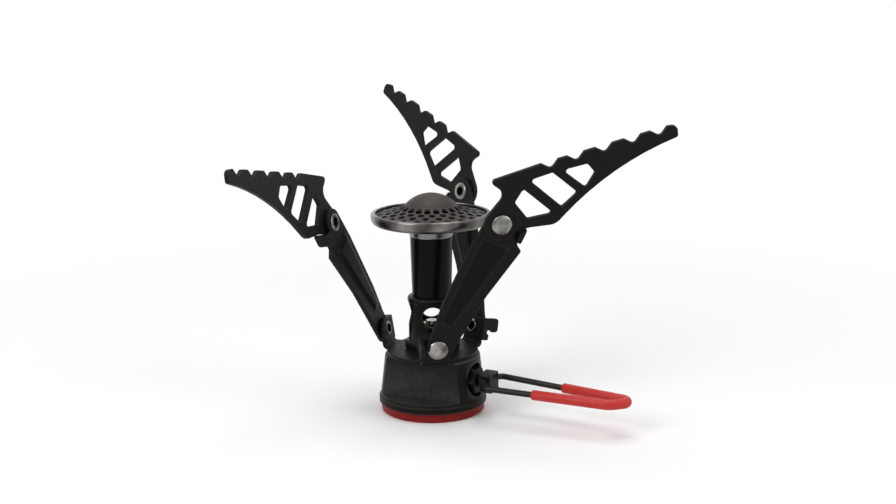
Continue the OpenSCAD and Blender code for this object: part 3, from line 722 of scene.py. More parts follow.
def drilled_sleeve(outer_r, inner_r, low, high, hole_r, hole_z, hole_turn, edge=0.25, margin=1.2,
                   side=18):
    """Tube with four round holes drilled square to its axis, as one shell with eased hole edges."""
    around = 4 * side
    zone = hole_r + margin
    points, faces = [], []

    def cover(rings):
        """Adds rings of points and the faces between them."""
        starts = list(range(len(points), len(points) + len(rings) * around, around))
        for ring in rings:
            points.extend(ring)
        faces.extend(skin(starts, around))

    def square(k):
        """Place on the edge of a hole's square patch, from -1 to 1 both ways."""
        part, along = divmod(k, side)
        t = 2 * along / side - 1
        return [(1, t), (-t, 1), (-1, -t), (t, -1)][part]

    def ring_round(hole, radius, ring_r, share):
        """Ring of points on a wall, from the edge of a hole's patch at share 0 to the hole at share 1."""
        ring = []
        for k in range(around):
            u, v = square(k)
            t = math.atan2(v, u)
            hole_angle = math.asin(min(0.999, ring_r * math.cos(t) / radius))
            angle = (1 - share) * u * math.pi / 4 + share * hole_angle
            z = (1 - share) * v * zone + share * ring_r * math.sin(t)
            ring.append(polar(radius, hole_turn + hole * math.pi / 2 + angle, hole_z + z))
        return ring

    shares = (0.0, 0.35, 0.65, 0.85, 1.0)
    ease = 0.3 * edge
    walls = [(outer_r, hole_r + edge, share) for share in shares]
    walls += [(outer_r - ease, hole_r + ease, 1.0), (outer_r - edge, hole_r, 1.0),
              (inner_r + edge, hole_r, 1.0), (inner_r + ease, hole_r + ease, 1.0)]
    walls += [(inner_r, hole_r + edge, share) for share in reversed(shares)]
    for hole in range(4):
        cover([ring_round(hole, *wall) for wall in walls])
    below = [(outer_r, hole_z - zone), (outer_r, low + edge), (outer_r - edge, low), (inner_r + edge, low),
             (inner_r, low + edge), (inner_r, hole_z - zone)]
    above = [(outer_r, hole_z + zone), (outer_r, high), (inner_r, high), (inner_r, hole_z + zone)]
    angles = [hole_turn - math.pi / 4 + 2 * math.pi * s / around for s in range(around)]
    for wall in (below, above):
        cover([[polar(radius, angle, z) for angle in angles] for radius, z in wall])
    return points, faces


MIXER_R = 7.8
MIXER_BORE_R = 6.45
RING_TOP_Z = BODY_TOP_Z + RING_T
FOOT_FLATS = 16.0
FOOT_TOP_Z = RING_TOP_Z + 3.4
MIXER_TOP_Z = 39.0
BAND_R = 8.1
BAND_Z = MIXER_TOP_Z - 2.1
FOOT_LAP = 0.5
BAND_LAP = 0.3
AIR_R = 3.4
AIR_Z = 33.0
AIR_TURN = math.radians(-60)
sleeve = drilled_sleeve(MIXER_R, MIXER_BORE_R, FOOT_TOP_Z - FOOT_LAP, BAND_Z + BAND_LAP, AIR_R, AIR_Z,
                        AIR_TURN)
band = turned([(MIXER_BORE_R, BAND_Z, 0), (BAND_R, BAND_Z, 0.5), (BAND_R, MIXER_TOP_Z, 0.95),
               (MIXER_BORE_R, MIXER_TOP_Z, 0)])
foot = hex_bar(FOOT_FLATS, RING_TOP_Z, FOOT_TOP_Z, NECK_R + PUSH_GAP, chamfer=0.6)
blacked = coat("black_turned", (0.0032, 0.0029, 0.0026), (0.0042, 0.0038, 0.0034), 210, (210, 0.22, 0.28),
               edge=(0.03, 0.0285, 0.027), specular=0.07)
fit("black_mixing_sleeve", new_mesh("mixing_sleeve", join(foot, sleeve, band)), blacked, "stove",
    "black_tube", "mixing_sleeve", sharp=30)

# Gas jet
# Small bright brass jet screwed into the neck, seen through the air holes: a hexagon with
# a turned tip and a fine hole.
JET_FLATS = 5.5
JET_HEX_Z = NECK_TOP_Z + 3.6
JET_TIP_Z = JET_HEX_Z - 0.3
JET_TOP_Z = NECK_TOP_Z + 4.4
JET_SEAT_Z = NECK_TOP_Z - 3.0
JET_R = 2.5
JET_TIP_R = 2.2
JET_HOLE_R = 0.2
jet = join(hex_bar(JET_FLATS, NECK_TOP_Z, JET_HEX_Z, JET_HOLE_R, chamfer=0.4),
           turned([(JET_HOLE_R, JET_TIP_Z, 0), (JET_TIP_R, JET_TIP_Z, 0),
                   (JET_TIP_R, JET_TOP_Z, 0.4), (JET_HOLE_R, JET_TOP_Z, 0.1)], segments=48),
           turned([(JET_HOLE_R, JET_SEAT_Z, 0), (JET_R, JET_SEAT_Z, 0.2), (JET_R, NECK_TOP_Z, 0),
                   (JET_HOLE_R, NECK_TOP_Z, 0)], segments=48))
plated = coat("plated_brass", (0.4, 0.38, 0.34), (0.6, 0.58, 0.54), 800, (2600, 0.18, 0.4), (6000, 0.003),
              lathe=True, metallic=1.0)
fit("brass_gas_jet", new_mesh("gas_jet", jet), plated, "stove", "brass", "gas_jet", sharp=25)

# Burner tube
# Slightly tapered black anodised tube where gas and air mix. It is turned smooth and
# pushed into the band at the top of the mixing sleeve.
TUBE_FOOT_R = 6.5
TUBE_TOP_R = 7.0
TUBE_TOP_Z = 59.0
TUBE_BORE_R = 5.6
SPIGOT = 2.8
TUBE_END_Z = MIXER_TOP_Z - SPIGOT
SEAT_GAP = 0.02
tube = turned([(TUBE_BORE_R, TUBE_END_Z, 0.2), (MIXER_BORE_R - PUSH_GAP, TUBE_END_Z, 0.2),
               (TUBE_FOOT_R, MIXER_TOP_Z + SEAT_GAP, 0), (TUBE_TOP_R, TUBE_TOP_Z, 0.15),
               (TUBE_BORE_R, TUBE_TOP_Z, 0)])
fit("black_burner_tube", new_mesh("burner_tube", tube), blacked, "stove", "black_tube", "burner_tube")

# Burner collar
# Bright steel collar that carries the burner head. It is turned, with a spigot that is
# pressed into the top of the tube.
COLLAR_R = 7.2
COLLAR_TOP_Z = 61.3
COLLAR_BORE_R = 4.9
COLLAR_FOOT_Z = TUBE_TOP_Z - 2 * SPIGOT
collar = turned([(COLLAR_BORE_R, COLLAR_FOOT_Z, 0.2), (TUBE_BORE_R - PUSH_GAP, COLLAR_FOOT_Z, 0.2),
                 (TUBE_BORE_R - PUSH_GAP, TUBE_TOP_Z, 0), (COLLAR_R, TUBE_TOP_Z, 0.3),
                 (COLLAR_R, COLLAR_TOP_Z, 0.2), (COLLAR_BORE_R, COLLAR_TOP_Z, 0)])
# Its strong light and dark patches are painted reflections on the bare steel.
steel = coat("brushed_steel", (0.07, 0.066, 0.062), (0.34, 0.33, 0.315), 160, (2600, 0.2, 0.42),
             (5200, 0.004), edge=(0.4, 0.39, 0.375), lathe=True, patchy=True, metallic=1.0)
fit("steel_burner_collar", new_mesh("burner_collar", collar), steel, "stove", "bright_steel",
    "burner_collar")

# Burner pan
# Spun stainless pan with a rolled rim, brushed round and round, with painted reflections in patches.
# It sits on the collar, holds the cap's edge under its rim, and is coloured black inside.


def steel_with_painted_reflections():
    finish = new_finish("steel_with_painted_reflections", (0.36, 0.34, 0.31), 0.32, metallic=1.0)
    # Light and dark patches over the steel are painted reflections, with fine turning lines over them.
    tall = add(finish, "Mapping", {"Vector": place_of(finish), "Scale": (1.0, 1.0, 0.55)}).outputs[0]
    painted_light = add(finish, "ValToRGB", {"Fac": speckle(finish, 95, 2.0, tall)})
    ramp = painted_light.color_ramp
    for spot, colour in ((0.3, (0.045, 0.041, 0.037)), (0.46, (0.13, 0.123, 0.115)),
                         (0.6, (0.3, 0.287, 0.27)), (0.74, (0.42, 0.405, 0.38))):
        ramp.elements.new(spot).color = (*colour, 1)
    ramp.elements.remove(ramp.elements[0])
    ramp.elements.remove(ramp.elements[-1])
    lines = turning(finish, 2300)
    reflections_and_turning = add(finish, "Mix", {0: 0.35, 6: painted_light.outputs["Color"], 7: lines}, data_type="RGBA",
                   blend_type="OVERLAY")
    # The marked inside of the pan is coloured black.
    dark_inside_colour = blend_colours(finish, stored(finish, "dark_inside"), reflections_and_turning.outputs[2], (0.004, 0.004, 0.004))
    connect(finish, "Base Color", dark_inside_colour)
    connect(finish, "Roughness", spread(finish, lines, 0.24, 0.46))
    raise_grain(finish, turning(finish, 4800), 0.003)
    return finish


PAN_T = 0.8
PAN_SLOPE_H = 2.1
RIM_R = 19.8
RIM_Z = COLLAR_TOP_Z + PAN_SLOPE_H
RIM_TOP_Z = RIM_Z + 3.5
LIP_R = RIM_R - 1.5
PAN_FLAT_R = COLLAR_R + 1
DARK_INSIDE_DEPTH = 0.4 * PAN_T
DARK_INSIDE_MARGIN = 0.3
pan = turned([(COLLAR_BORE_R, COLLAR_TOP_Z, 0.1), (PAN_FLAT_R, COLLAR_TOP_Z, 1.2), (RIM_R, RIM_Z, 2.4),
              (RIM_R, RIM_TOP_Z, 0.8), (LIP_R, RIM_TOP_Z, 0.2), (LIP_R, RIM_TOP_Z - PAN_T, 0.12),
              (RIM_R - PAN_T, RIM_TOP_Z - PAN_T, 0.1), (RIM_R - PAN_T, RIM_Z + PAN_T, 1.6),
              (COLLAR_R, COLLAR_TOP_Z + PAN_T, 0.5), (COLLAR_BORE_R, COLLAR_TOP_Z + PAN_T, 0.1)],
             segments=144)
pan_mesh = new_mesh("burner_pan", pan)
# Marks the pan's inside, from just above its floor up to below the rim's lip, which its finish colours
# black.
dark_inside = pan_mesh.attributes.new("dark_inside", "FLOAT", "POINT")
for v in pan_mesh.vertices:
    out = v.co.xy.length / MM
    floor_z = COLLAR_TOP_Z + PAN_SLOPE_H * max(0.0, out - COLLAR_R) / (RIM_R - COLLAR_R)
    inside = floor_z + DARK_INSIDE_DEPTH < v.co.z / MM < RIM_TOP_Z - DARK_INSIDE_MARGIN
    dark_inside.data[v.index].value = float(inside and out < LIP_R + DARK_INSIDE_MARGIN)
fit("steel_burner_pan", pan_mesh, steel_with_painted_reflections(), "stove", "bright_steel", "burner_pan")

# Burner cap
# Dark steel cap in the pan: a dome in the middle and a sloping skirt with four staggered
# rows of punched flame holes.


def start_tree(name, sockets):
    """Empty Geometry Nodes tree with a geometry input and named inputs, and what comes out of them."""
    tree = bpy.data.node_groups.new(name, "GeometryNodeTree")
    tree.interface.new_socket("Geometry", in_out="INPUT", socket_type="NodeSocketGeometry")
    for label, kind in sockets.items():
        tree.interface.new_socket(label, in_out="INPUT", socket_type="NodeSocket" + kind)
    tree.interface.new_socket("Finish", in_out="INPUT", socket_type="NodeSocketMaterial")
    tree.interface.new_socket("Geometry", in_out="OUTPUT", socket_type="NodeSocketGeometry")
    return tree, tree.nodes.new("NodeGroupInput").outputs


def end_tree(tree, given, geometry):
    """Ends a tree with real geometry in its finish."""
    real = grow(tree, "GeometryNodeRealizeInstances", {"Geometry": geometry})
    painted = grow(tree, "GeometryNodeSetMaterial", {"Geometry": real.outputs[0],
                                                     "Material": given["Finish"]})
    tree.links.new(painted.outputs[0], tree.nodes.new("NodeGroupOutput").inputs[0])
    return tree


def sum_up(tree, operation, *values):
    return grow(tree, "ShaderNodeMath", dict(enumerate(values)), operation=operation).outputs[0]


def run_tree(tree, mesh, values):
    """Plain mesh that a tree makes from a mesh with these input values."""
    keys = {item.name: item.identifier for item in tree.interface.items_tree if item.in_out == "INPUT"}
    return worked(mesh, "NODES", {keys[name]: value for name, value in values.items()}, node_group=tree)


def punching():
    """Tree that punches staggered rows of round holes through a plate, about the Z axis."""
    tree, given = start_tree("punching", {"Rows": "Int", "Holes a Row": "Int", "First Row": "Float",
                                          "Row Step": "Float", "Hole Radius": "Float", "Height": "Float",
                                          "Depth": "Float"})
    count = sum_up(tree, "MULTIPLY", given["Rows"], given["Holes a Row"])
    punches = grow(tree, "GeometryNodePoints", {"Count": count})
    index = grow(tree, "GeometryNodeInputIndex", {}).outputs[0]
    row = sum_up(tree, "FLOOR", sum_up(tree, "DIVIDE", index, given["Holes a Row"]))
    step = sum_up(tree, "ADD", index, sum_up(tree, "MULTIPLY", row, 0.5))
    angle = sum_up(tree, "DIVIDE", sum_up(tree, "MULTIPLY", step, 2 * math.pi), given["Holes a Row"])
    radius = sum_up(tree, "ADD", given["First Row"], sum_up(tree, "MULTIPLY", row, given["Row Step"]))
    spot = grow(tree, "ShaderNodeCombineXYZ", {
        "X": sum_up(tree, "MULTIPLY", radius, sum_up(tree, "COSINE", angle)),
        "Y": sum_up(tree, "MULTIPLY", radius, sum_up(tree, "SINE", angle)), "Z": given["Height"]})
    spots = grow(tree, "GeometryNodeSetPosition", {"Geometry": punches.outputs[0],
                                                   "Position": spot.outputs[0]})
    punch = grow(tree, "GeometryNodeMeshCylinder", {"Vertices": 20, "Radius": given["Hole Radius"],
                                                    "Depth": given["Depth"]})
    rows = grow(tree, "GeometryNodeInstanceOnPoints", {"Points": spots.outputs[0],
                                                       "Instance": punch.outputs["Mesh"]})
    tools = grow(tree, "GeometryNodeRealizeInstances", {"Geometry": rows.outputs[0]})
    punched = grow(tree, "GeometryNodeMeshBoolean", {"Mesh 1": given["Geometry"],
                                                     "Mesh 2": tools.outputs[0]},
                   operation="DIFFERENCE", solver="EXACT")
    return end_tree(tree, given, punched.outputs["Mesh"])


CAP_T = 0.6
CAP_EDGE_R = 18.85
CAP_EDGE_Z = 65.3
DOME_TOP_Z = 73.2
DOME_SPHERE = 11.55
DOME_FOOT_R = 9.3
DOME_FLARE = 6.0
FLARE_SHARE = 0.42
PORT_ROWS = 4
PORTS_A_ROW = 21
FIRST_ROW_R = 9.7
ROW_STEP = 2.3
PORT_R = 1.1
dome_span = math.asin(DOME_FOOT_R / DOME_SPHERE)


def dome_arc(inset, steps=10):
    """Half of the dome's section from its top to its flared foot, as (radius, height, corner radius)."""
    radius = DOME_SPHERE - inset
    middle = DOME_TOP_Z - DOME_SPHERE
    flare = DOME_FLARE + inset
    before_flare = dome_span - FLARE_SHARE * flare / radius
    angles = [before_flare * k / steps for k in range(steps + 1)] + [dome_span]
    arc = [(radius * math.sin(a), middle + radius * math.cos(a), 0) for a in angles]
    return arc[:-1] + [(*arc[-1][:2], flare)]


cap_blank = turned([*dome_arc(CAP_T), (CAP_EDGE_R, CAP_EDGE_Z, 0.1), (CAP_EDGE_R, CAP_EDGE_Z + CAP_T, 0.2),
                    *dome_arc(0)[::-1]], segments=126)
burnt = coat("burnt_steel", (0.037, 0.033, 0.029), (0.052, 0.046, 0.041), 130, (900, 0.42, 0.58),
             (2600, 0.004, 4.0), metallic=0.6, specular=0.2)
cap = run_tree(punching(), new_mesh("burner_cap", cap_blank), {
    "Rows": PORT_ROWS, "Holes a Row": PORTS_A_ROW, "First Row": FIRST_ROW_R * MM, "Row Step": ROW_STEP * MM,
    "Hole Radius": PORT_R * MM, "Height": CAP_EDGE_Z * MM, "Depth": DOME_SPHERE * MM, "Finish": burnt})
fit("perforated_burner_cap", cap, burnt, "stove", "dark_steel", "burner_cap")

# Arms
# Three black arms stamped from sheet steel, each with a tapered channel pressed in to stiffen it
# and a tab bent up at the top that the pot support rests on.


def arm_frame(number):
    """Frame of an arm: its lower pivot at the origin, its upper pivot up the Y axis, Z along the hinge."""
    low = Vector(joints[f"arm_{number}_fold"]["pos_m"]) / MM
    high = Vector(joints[f"pot_support_{number}_fold"]["pos_m"]) / MM
    axis = unit(Vector(joints[f"arm_{number}_fold"]["axis"]))
    up = unit(high - low)
    turn = Matrix((up.cross(axis), up, axis)).transposed().to_4x4()
    return Matrix.Translation(low) @ turn, (high - low).length


ARM_T = 1.5
ARM_ROUND = 4.4
ARM_INNER = -5.3
ARM_END_IN = -4.1
ARM_END_Y = -4.3
ARM_CORNER = 10.4
TAB_IN = 6.6
TAB_OUT = TAB_IN + ARM_T
TAB_RISE = 3.0
PRESS_DEPTH = 0.7
CHANNEL_IN = -2.6
CHANNEL_LOW = 9.0
CHANNEL_FOOT_OUT = 0.6
CHANNEL_TOP_OUT = 6.0
CHANNEL_WALL = (-0.8, 0.9)
STOP_ANGLE = math.radians(39.4)
HEEL_Y = -3.7
STOP_GAP = 0.2
EASE = 0.25
arm_len = arm_frame(1)[1]
channel_high = arm_len - 7.3
tab_foot_y = arm_len - 3.5
tab_top_in = arm_len + (HEEL_Y - STOP_GAP) / math.cos(STOP_ANGLE) + TAB_IN * math.tan(STOP_ANGLE)
tab_top_out = tab_top_in + ARM_T * math.tan(STOP_ANGLE)


def swell(value, low, high):
    """Smooth step from 0 to 1 between two values."""
    t = max(0.0, min(1.0, (value - low) / (high - low)))
    return t * t * (3 - 2 * t)


def pressing(x, y):
    """Depth of an arm's pressed channel at a place, from 0 on the flat to 1 on its floor."""
    share = (y - CHANNEL_LOW) / (channel_high - CHANNEL_LOW)
    channel_out = CHANNEL_FOOT_OUT + (CHANNEL_TOP_OUT - CHANNEL_FOOT_OUT) * share
    inside = min(x - CHANNEL_IN, channel_out - x, y - CHANNEL_LOW, channel_high - y)
    return swell(inside, *CHANNEL_WALL)


def arm_sheet():
    """One arm in its own frame, with its channel and its stop tab, as points and faces."""
    def pressed(x, y, height):
        return Vector((x, y, height - ARM_T / 2 - PRESS_DEPTH * pressing(x, y)))

    def bent_up(x, y, height):
        lean = math.tan(STOP_ANGLE) * swell(y, tab_foot_y, tab_top_in)
        return Vector(((TAB_IN + TAB_OUT) / 2 + height, y + (height + ARM_T / 2) * lean, x))

    corners = [(ARM_INNER, arm_len - 10, 9), (ARM_INNER, 15, 9), (ARM_END_IN, 4, 4), (ARM_END_IN, -1, 1.5),
               (-3.5, -3.5, 0.5), (-2, ARM_END_Y, 0.8), (4.3, ARM_END_Y, 4), (5.3, 8, 6), (6.6, 22, 20),
               (ARM_CORNER, arm_len - 6.3, 0.8), (TAB_OUT, tab_foot_y - 1.2, 0.6),
               (TAB_OUT, tab_top_out - 0.3, 0.45), (TAB_IN, tab_top_in - 0.3, 0.45)]
    outline = rounded([(-ARM_ROUND, arm_len, 0), *corners, (ARM_ROUND, arm_len, 0)], 8, closed=False,
                      support=0)
    outline += [Vector((0, arm_len)) + polar(ARM_ROUND, math.radians(a), 0).xy for a in range(8, 173, 6)]
    holes = [circle((0, 0), RIVET_R + TURN_GAP, 32), circle((0, arm_len), RIVET_R + PUSH_GAP, 32)]
    flat = sheet_metal([outline, *holes], ARM_T, pressed, edge=EASE, grid=0.5, spacing=0.7)
    tab = rounded([(-ARM_T / 2, tab_foot_y, 0.45), (TAB_RISE, tab_foot_y, 0.9), (TAB_RISE, tab_top_in, 0.9),
                   (-ARM_T / 2, tab_top_in, 0.45)], 5, support=0)
    return join(flat, sheet_metal([tab], ARM_T, bent_up, edge=EASE))


arm_shape = arm_sheet()
for number in (1, 2, 3):
    at_arm = arm_frame(number)[0]
    arm = new_mesh(f"arm_{number}", arm_shape, at_arm)
    channel = arm.attributes.new("channel", "FLOAT", "POINT")
    for v in arm.vertices:
        spot = at_arm.inverted() @ (v.co / MM)
        channel.data[v.index].value = pressing(spot.x, spot.y)
    fit(f"pressed_arm_{number}", arm, sheet, f"arm_{number}", "black_sheet", f"arm_{number}", sharp=50,
        crease=22)

# Pot supports
# Three black plates stamped from sheet steel, with a toothed top edge that grips the pot and
# three windows between slanted struts. Each turns on its arm's upper rivet.
PLATE_T = 1.5
PLATE_GAP = 0.1
PLATE_ROUND = 5.4
NECK_ANGLE = 127
EDGE_H = 15.5
NOTCH_D = 2.4
NOTCH_HALF = 2.7
NOTCH_X = (19.2, 27.6, 36.7, 46, 54.5)
ROUND_STEPS = 40
ROUND_GAP = 8
heel_angle = math.degrees(math.asin(HEEL_Y / PLATE_ROUND))


def support_sheet():
    """One pot support about its pivot, with its toothed edge above, as points and faces."""
    def on_round(angle):
        return polar(PLATE_ROUND, math.radians(angle), 0).xy

    teeth = []
    for x in NOTCH_X:
        teeth += [(x - NOTCH_HALF, EDGE_H, 0.5), (x, EDGE_H - NOTCH_D, 1.3), (x + NOTCH_HALF, EDGE_H, 0.5)]
    corners = [(*on_round(NECK_ANGLE), 0), (3.6, 9.4, 2.8), (-0.7, EDGE_H - 0.7, 1.1), *teeth,
               (60.4, EDGE_H - 0.5, 1.8), (60, 11.2, 0.9), (37.7, 8.7, 90), (16.5, -5.2, 5),
               (8.2, HEEL_Y, 6), (*on_round(heel_angle), 0)]
    outline = rounded(corners, 8, closed=False, support=0)
    first = heel_angle - ROUND_GAP
    last = NECK_ANGLE - 360 + ROUND_GAP
    outline += [on_round(first + (last - first) * k / ROUND_STEPS) for k in range(ROUND_STEPS + 1)]
    windows = [[(9.2, 9.2, 0.7), (5.6, 5.7, 0.9), (8.3, -0.6, 0.8), (16.5, -1.3, 0.7)],
               [(11.7, 11.4, 0.9), (19.2, 11.7, 0.8), (25.4, 3, 0.9), (19.6, -0.1, 0.7)],
               [(22.4, 11.5, 0.9), (30.4, 11.2, 0.8), (32.1, 7.7, 0.8), (28.3, 3.8, 0.8)]]
    holes = [rounded(w, 6, support=0) for w in windows]
    holes.append(circle((0, 0), RIVET_R + TURN_GAP, 32))
    return sheet_metal([outline, *holes], PLATE_T,
                       lambda x, y, height: Vector((x, y, PLATE_GAP + PLATE_T / 2 + height)), edge=EASE)


support_shape = support_sheet()
on_arm = Matrix.Translation((0, arm_len, 0)) @ Matrix.Rotation(STOP_ANGLE, 4, "Z")
for number in (1, 2, 3):
    at_top = arm_frame(number)[0] @ on_arm
    fit(f"toothed_support_{number}", new_mesh(f"pot_support_{number}", support_shape, at_top), sheet,
        f"pot_support_{number}", "black_sheet", f"pot_support_{number}", sharp=50, crease=22)

# Rivets
# Bright steel rivets with domed heads and hollow flared tails: three hold the arms to the
# ears, and one at the top of each arm carries its pot support.


def riveting():
    """Tree that sets a rivet at each point, with its head towards the point's axis attribute."""
    tree, given = start_tree("riveting", {"Head Radius": "Float", "Head Edge": "Float", "Crown": "Float",
                                          "Shank Radius": "Float", "Grip": "Float", "Tail Radius": "Float",
                                          "Hollow Radius": "Float", "Hollow Depth": "Float"})
    edge = given["Head Edge"]

    def share_of(limit):
        """Distance from the axis as a share of a limit, and the height."""
        place = grow(tree, "GeometryNodeInputPosition", {}).outputs[0]
        parts = grow(tree, "ShaderNodeSeparateXYZ", {"Vector": place})
        flat = grow(tree, "ShaderNodeCombineXYZ", {"X": parts.outputs["X"], "Y": parts.outputs["Y"]})
        out = grow(tree, "ShaderNodeVectorMath", {0: flat.outputs[0]}, operation="LENGTH").outputs["Value"]
        return sum_up(tree, "DIVIDE", out, limit), parts.outputs["Z"]

    def disc(radius, depth, rings=1):
        return grow(tree, "GeometryNodeMeshCylinder", {"Vertices": 48, "Fill Segments": rings,
                                                       "Radius": radius, "Depth": depth}).outputs["Mesh"]

    def lift(mesh, height):
        move = grow(tree, "ShaderNodeCombineXYZ", {"Z": height}).outputs[0]
        return grow(tree, "GeometryNodeSetPosition", {"Geometry": mesh, "Offset": move}).outputs[0]

    def ramp(value, start, stop, first, last, kind="LINEAR"):
        return grow(tree, "ShaderNodeMapRange", {"Value": value, "From Min": start, "From Max": stop,
                                                 "To Min": first, "To Max": last},
                    interpolation_type=kind).outputs["Result"]

    share, height = share_of(given["Head Radius"])
    inner = sum_up(tree, "MINIMUM", share, 1.0)
    fall = sum_up(tree, "POWER", sum_up(tree, "SUBTRACT", 1.0, sum_up(tree, "POWER", inner, 2.4)), 0.65)
    upper = sum_up(tree, "GREATER_THAN", height, 0.0)
    dome = sum_up(tree, "MULTIPLY", sum_up(tree, "MULTIPLY", fall, given["Crown"]), upper)
    head = lift(disc(given["Head Radius"], edge, 15),
                sum_up(tree, "ADD", dome, sum_up(tree, "MULTIPLY", edge, 0.5)))

    solid = sum_up(tree, "SUBTRACT", given["Grip"], given["Hollow Depth"])
    seated = sum_up(tree, "MULTIPLY_ADD", edge, 0.6, solid)
    shank = lift(disc(given["Shank Radius"], seated), sum_up(tree, "MULTIPLY", solid, -0.5))

    share, height = share_of(given["Hollow Radius"])
    lower = sum_up(tree, "LESS_THAN", height, 0.0)
    bored = ramp(share, 0.9, 1.1, 1.0, 0.0, "SMOOTHSTEP")
    # This share marks the hollow tail, where the finish paints shade.
    tail = grow(tree, "GeometryNodeStoreNamedAttribute", {
        "Geometry": disc(given["Tail Radius"], edge, 24), "Name": "hollow",
        "Value": ramp(share, 1.08, 1.24, 1.0, 0.0)}, data_type="FLOAT", domain="POINT").outputs[0]
    flare = share_of(given["Tail Radius"])[0]
    curl = ramp(flare, 0.8, 1.0, 0.0, sum_up(tree, "MULTIPLY", edge, 0.5), "SMOOTHSTEP")
    dish = sum_up(tree, "ADD", sum_up(tree, "MULTIPLY", bored, given["Hollow Depth"]),
                  sum_up(tree, "MULTIPLY", curl, lower))
    drop = sum_up(tree, "SUBTRACT", sum_up(tree, "MULTIPLY", edge, -0.5), given["Grip"])
    tail = lift(tail, sum_up(tree, "ADD", dish, drop))

    rivet = grow(tree, "GeometryNodeJoinGeometry", {})
    for part in (head, shank, tail):
        tree.links.new(part, rivet.inputs[0])
    axis = grow(tree, "GeometryNodeInputNamedAttribute", {"Name": "axis"}, data_type="FLOAT_VECTOR")
    aim = grow(tree, "FunctionNodeAlignRotationToVector", {"Vector": axis.outputs[0]}, axis="Z")
    points = grow(tree, "GeometryNodeMeshToPoints", {"Mesh": given["Geometry"]})
    rivets = grow(tree, "GeometryNodeInstanceOnPoints", {"Points": points.outputs[0],
                                                         "Instance": rivet.outputs[0],
                                                         "Rotation": aim.outputs[0]})
    return end_tree(tree, given, rivets.outputs[0])


def painted_hollow_shade(finish, colour):
    """Colour with painted shade, black in a rivet's hollow tail."""
    return blend_colours(finish, stored(finish, "hollow"), colour, (0.006, 0.006, 0.006))


HEAD_R = 3.2
HEAD_EDGE = 0.45
CROWN = 0.75
LOWER_TAIL_R = 2.3
UPPER_TAIL_R = 2.9
HOLLOW_R = 1.42
HOLLOW_DEPTH = 1.3
EAR_BACK = EAR_MID - RING_T / 2
UPPER_HEAD = 2 * PLATE_GAP + PLATE_T
rivet_tree = riveting()
# Strong light and dark patches on the heads are painted reflections, and the hollow tails get painted
# shade.
rivet_finish = coat("rivet_steel", (0.05, 0.048, 0.045), (0.42, 0.41, 0.39), 270, (1300, 0.22, 0.42, 4.0),
                    (1300, 0.02, 4.0), patchy=True, painted_light=painted_hollow_shade, metallic=1.0)


def rivets_at(name, seats, tail_r, grip):
    """Mesh of rivets from the (place, axis) of each head's underside, in millimetres."""
    mesh = bpy.data.meshes.new(name)
    mesh.from_pydata([place * MM for place, axis in seats], [], [])
    aims = mesh.attributes.new("axis", "FLOAT_VECTOR", "POINT")
    for k, (place, axis) in enumerate(seats):
        aims.data[k].vector = axis
    sizes = {"Head Radius": HEAD_R, "Head Edge": HEAD_EDGE, "Crown": CROWN, "Shank Radius": RIVET_R,
             "Hollow Radius": HOLLOW_R, "Hollow Depth": HOLLOW_DEPTH, "Tail Radius": tail_r, "Grip": grip}
    values = {label: size * MM for label, size in sizes.items()}
    return run_tree(rivet_tree, mesh, {**values, "Finish": rivet_finish})


low_seats, top_seats = [], []
for number in (1, 2, 3):
    at_arm = arm_frame(number)[0]
    axis = at_arm.col[2].xyz
    low_seats.append((at_arm @ Vector((0, 0, PLATE_GAP)), axis))
    top_seats.append((at_arm @ Vector((0, arm_len, UPPER_HEAD)), axis))
low_rivets = rivets_at("lower_rivets", low_seats, LOWER_TAIL_R, PLATE_GAP - EAR_BACK)
fit("ear_rivets", low_rivets, rivet_finish, "stove", "bright_steel", "lower_rivets")
for number, seat in enumerate(top_seats, 1):
    rivet = rivets_at(f"upper_rivet_{number}", [seat], UPPER_TAIL_R, UPPER_HEAD + ARM_T)
    fit(f"support_rivet_{number}", rivet, rivet_finish, f"arm_{number}", "bright_steel",
        f"upper_rivet_{number}")

# Valve stem and block
# Blackened stem with the needle, in its bore, and a small glossy black block pressed on its end,
# cross-drilled for the handle's wire.
repaint("valve_stem", fitting)
valve_axis = Vector(joints["valve_turn"]["axis"])
pivot = Vector(joints["handle_lift"]["pos_m"]) / MM
lift_axis = -Vector(joints["handle_lift"]["axis"])
handle_turn = Matrix((valve_axis, lift_axis, valve_axis.cross(lift_axis))).transposed().to_4x4()
at_pivot = Matrix.Translation(pivot) @ handle_turn

BLOCK_W = 6.0
BLOCK_H = 6.5
BLOCK_FROM = -2.6
BLOCK_TO = 1.8
BLOCK_CORNER = 0.7
WIRE_R = 1.0
block_section = rounded([(x * BLOCK_W / 2, y * BLOCK_H / 2, BLOCK_CORNER)
                         for x, y in ((-1, -1), (1, -1), (1, 1), (-1, 1))], 6, support=0)
block_mid = (BLOCK_FROM + BLOCK_TO) / 2
stem_block = sheet_metal([block_section], BLOCK_TO - BLOCK_FROM,
                         lambda x, y, height: Vector((block_mid + height, x, y)), edge=0.35)
bore_r = WIRE_R + TURN_GAP
wire_bore = turned([(0, -BLOCK_W, 0), (bore_r, -BLOCK_W, 0), (bore_r, BLOCK_W, 0), (0, BLOCK_W, 0)],
                   segments=40)
block_mesh = carve(new_mesh("stem_block", stem_block, at_pivot),
                   new_mesh("wire_bore", wire_bore, at_pivot @ Matrix.Rotation(math.pi / 2, 4, "X")))
# The stem block's light edges are partly rubbing and partly a painted highlight.
block_black = black_fitting("block_black", 0.08, 0.08)
fit("drilled_stem_block", block_mesh, block_black, "valve_stem", "black_fittings", "stem_block")

# Handle
# A bail of dark spring wire whose bent ends turn in the block, with a red rubber sleeve pushed
# over its outer loop.


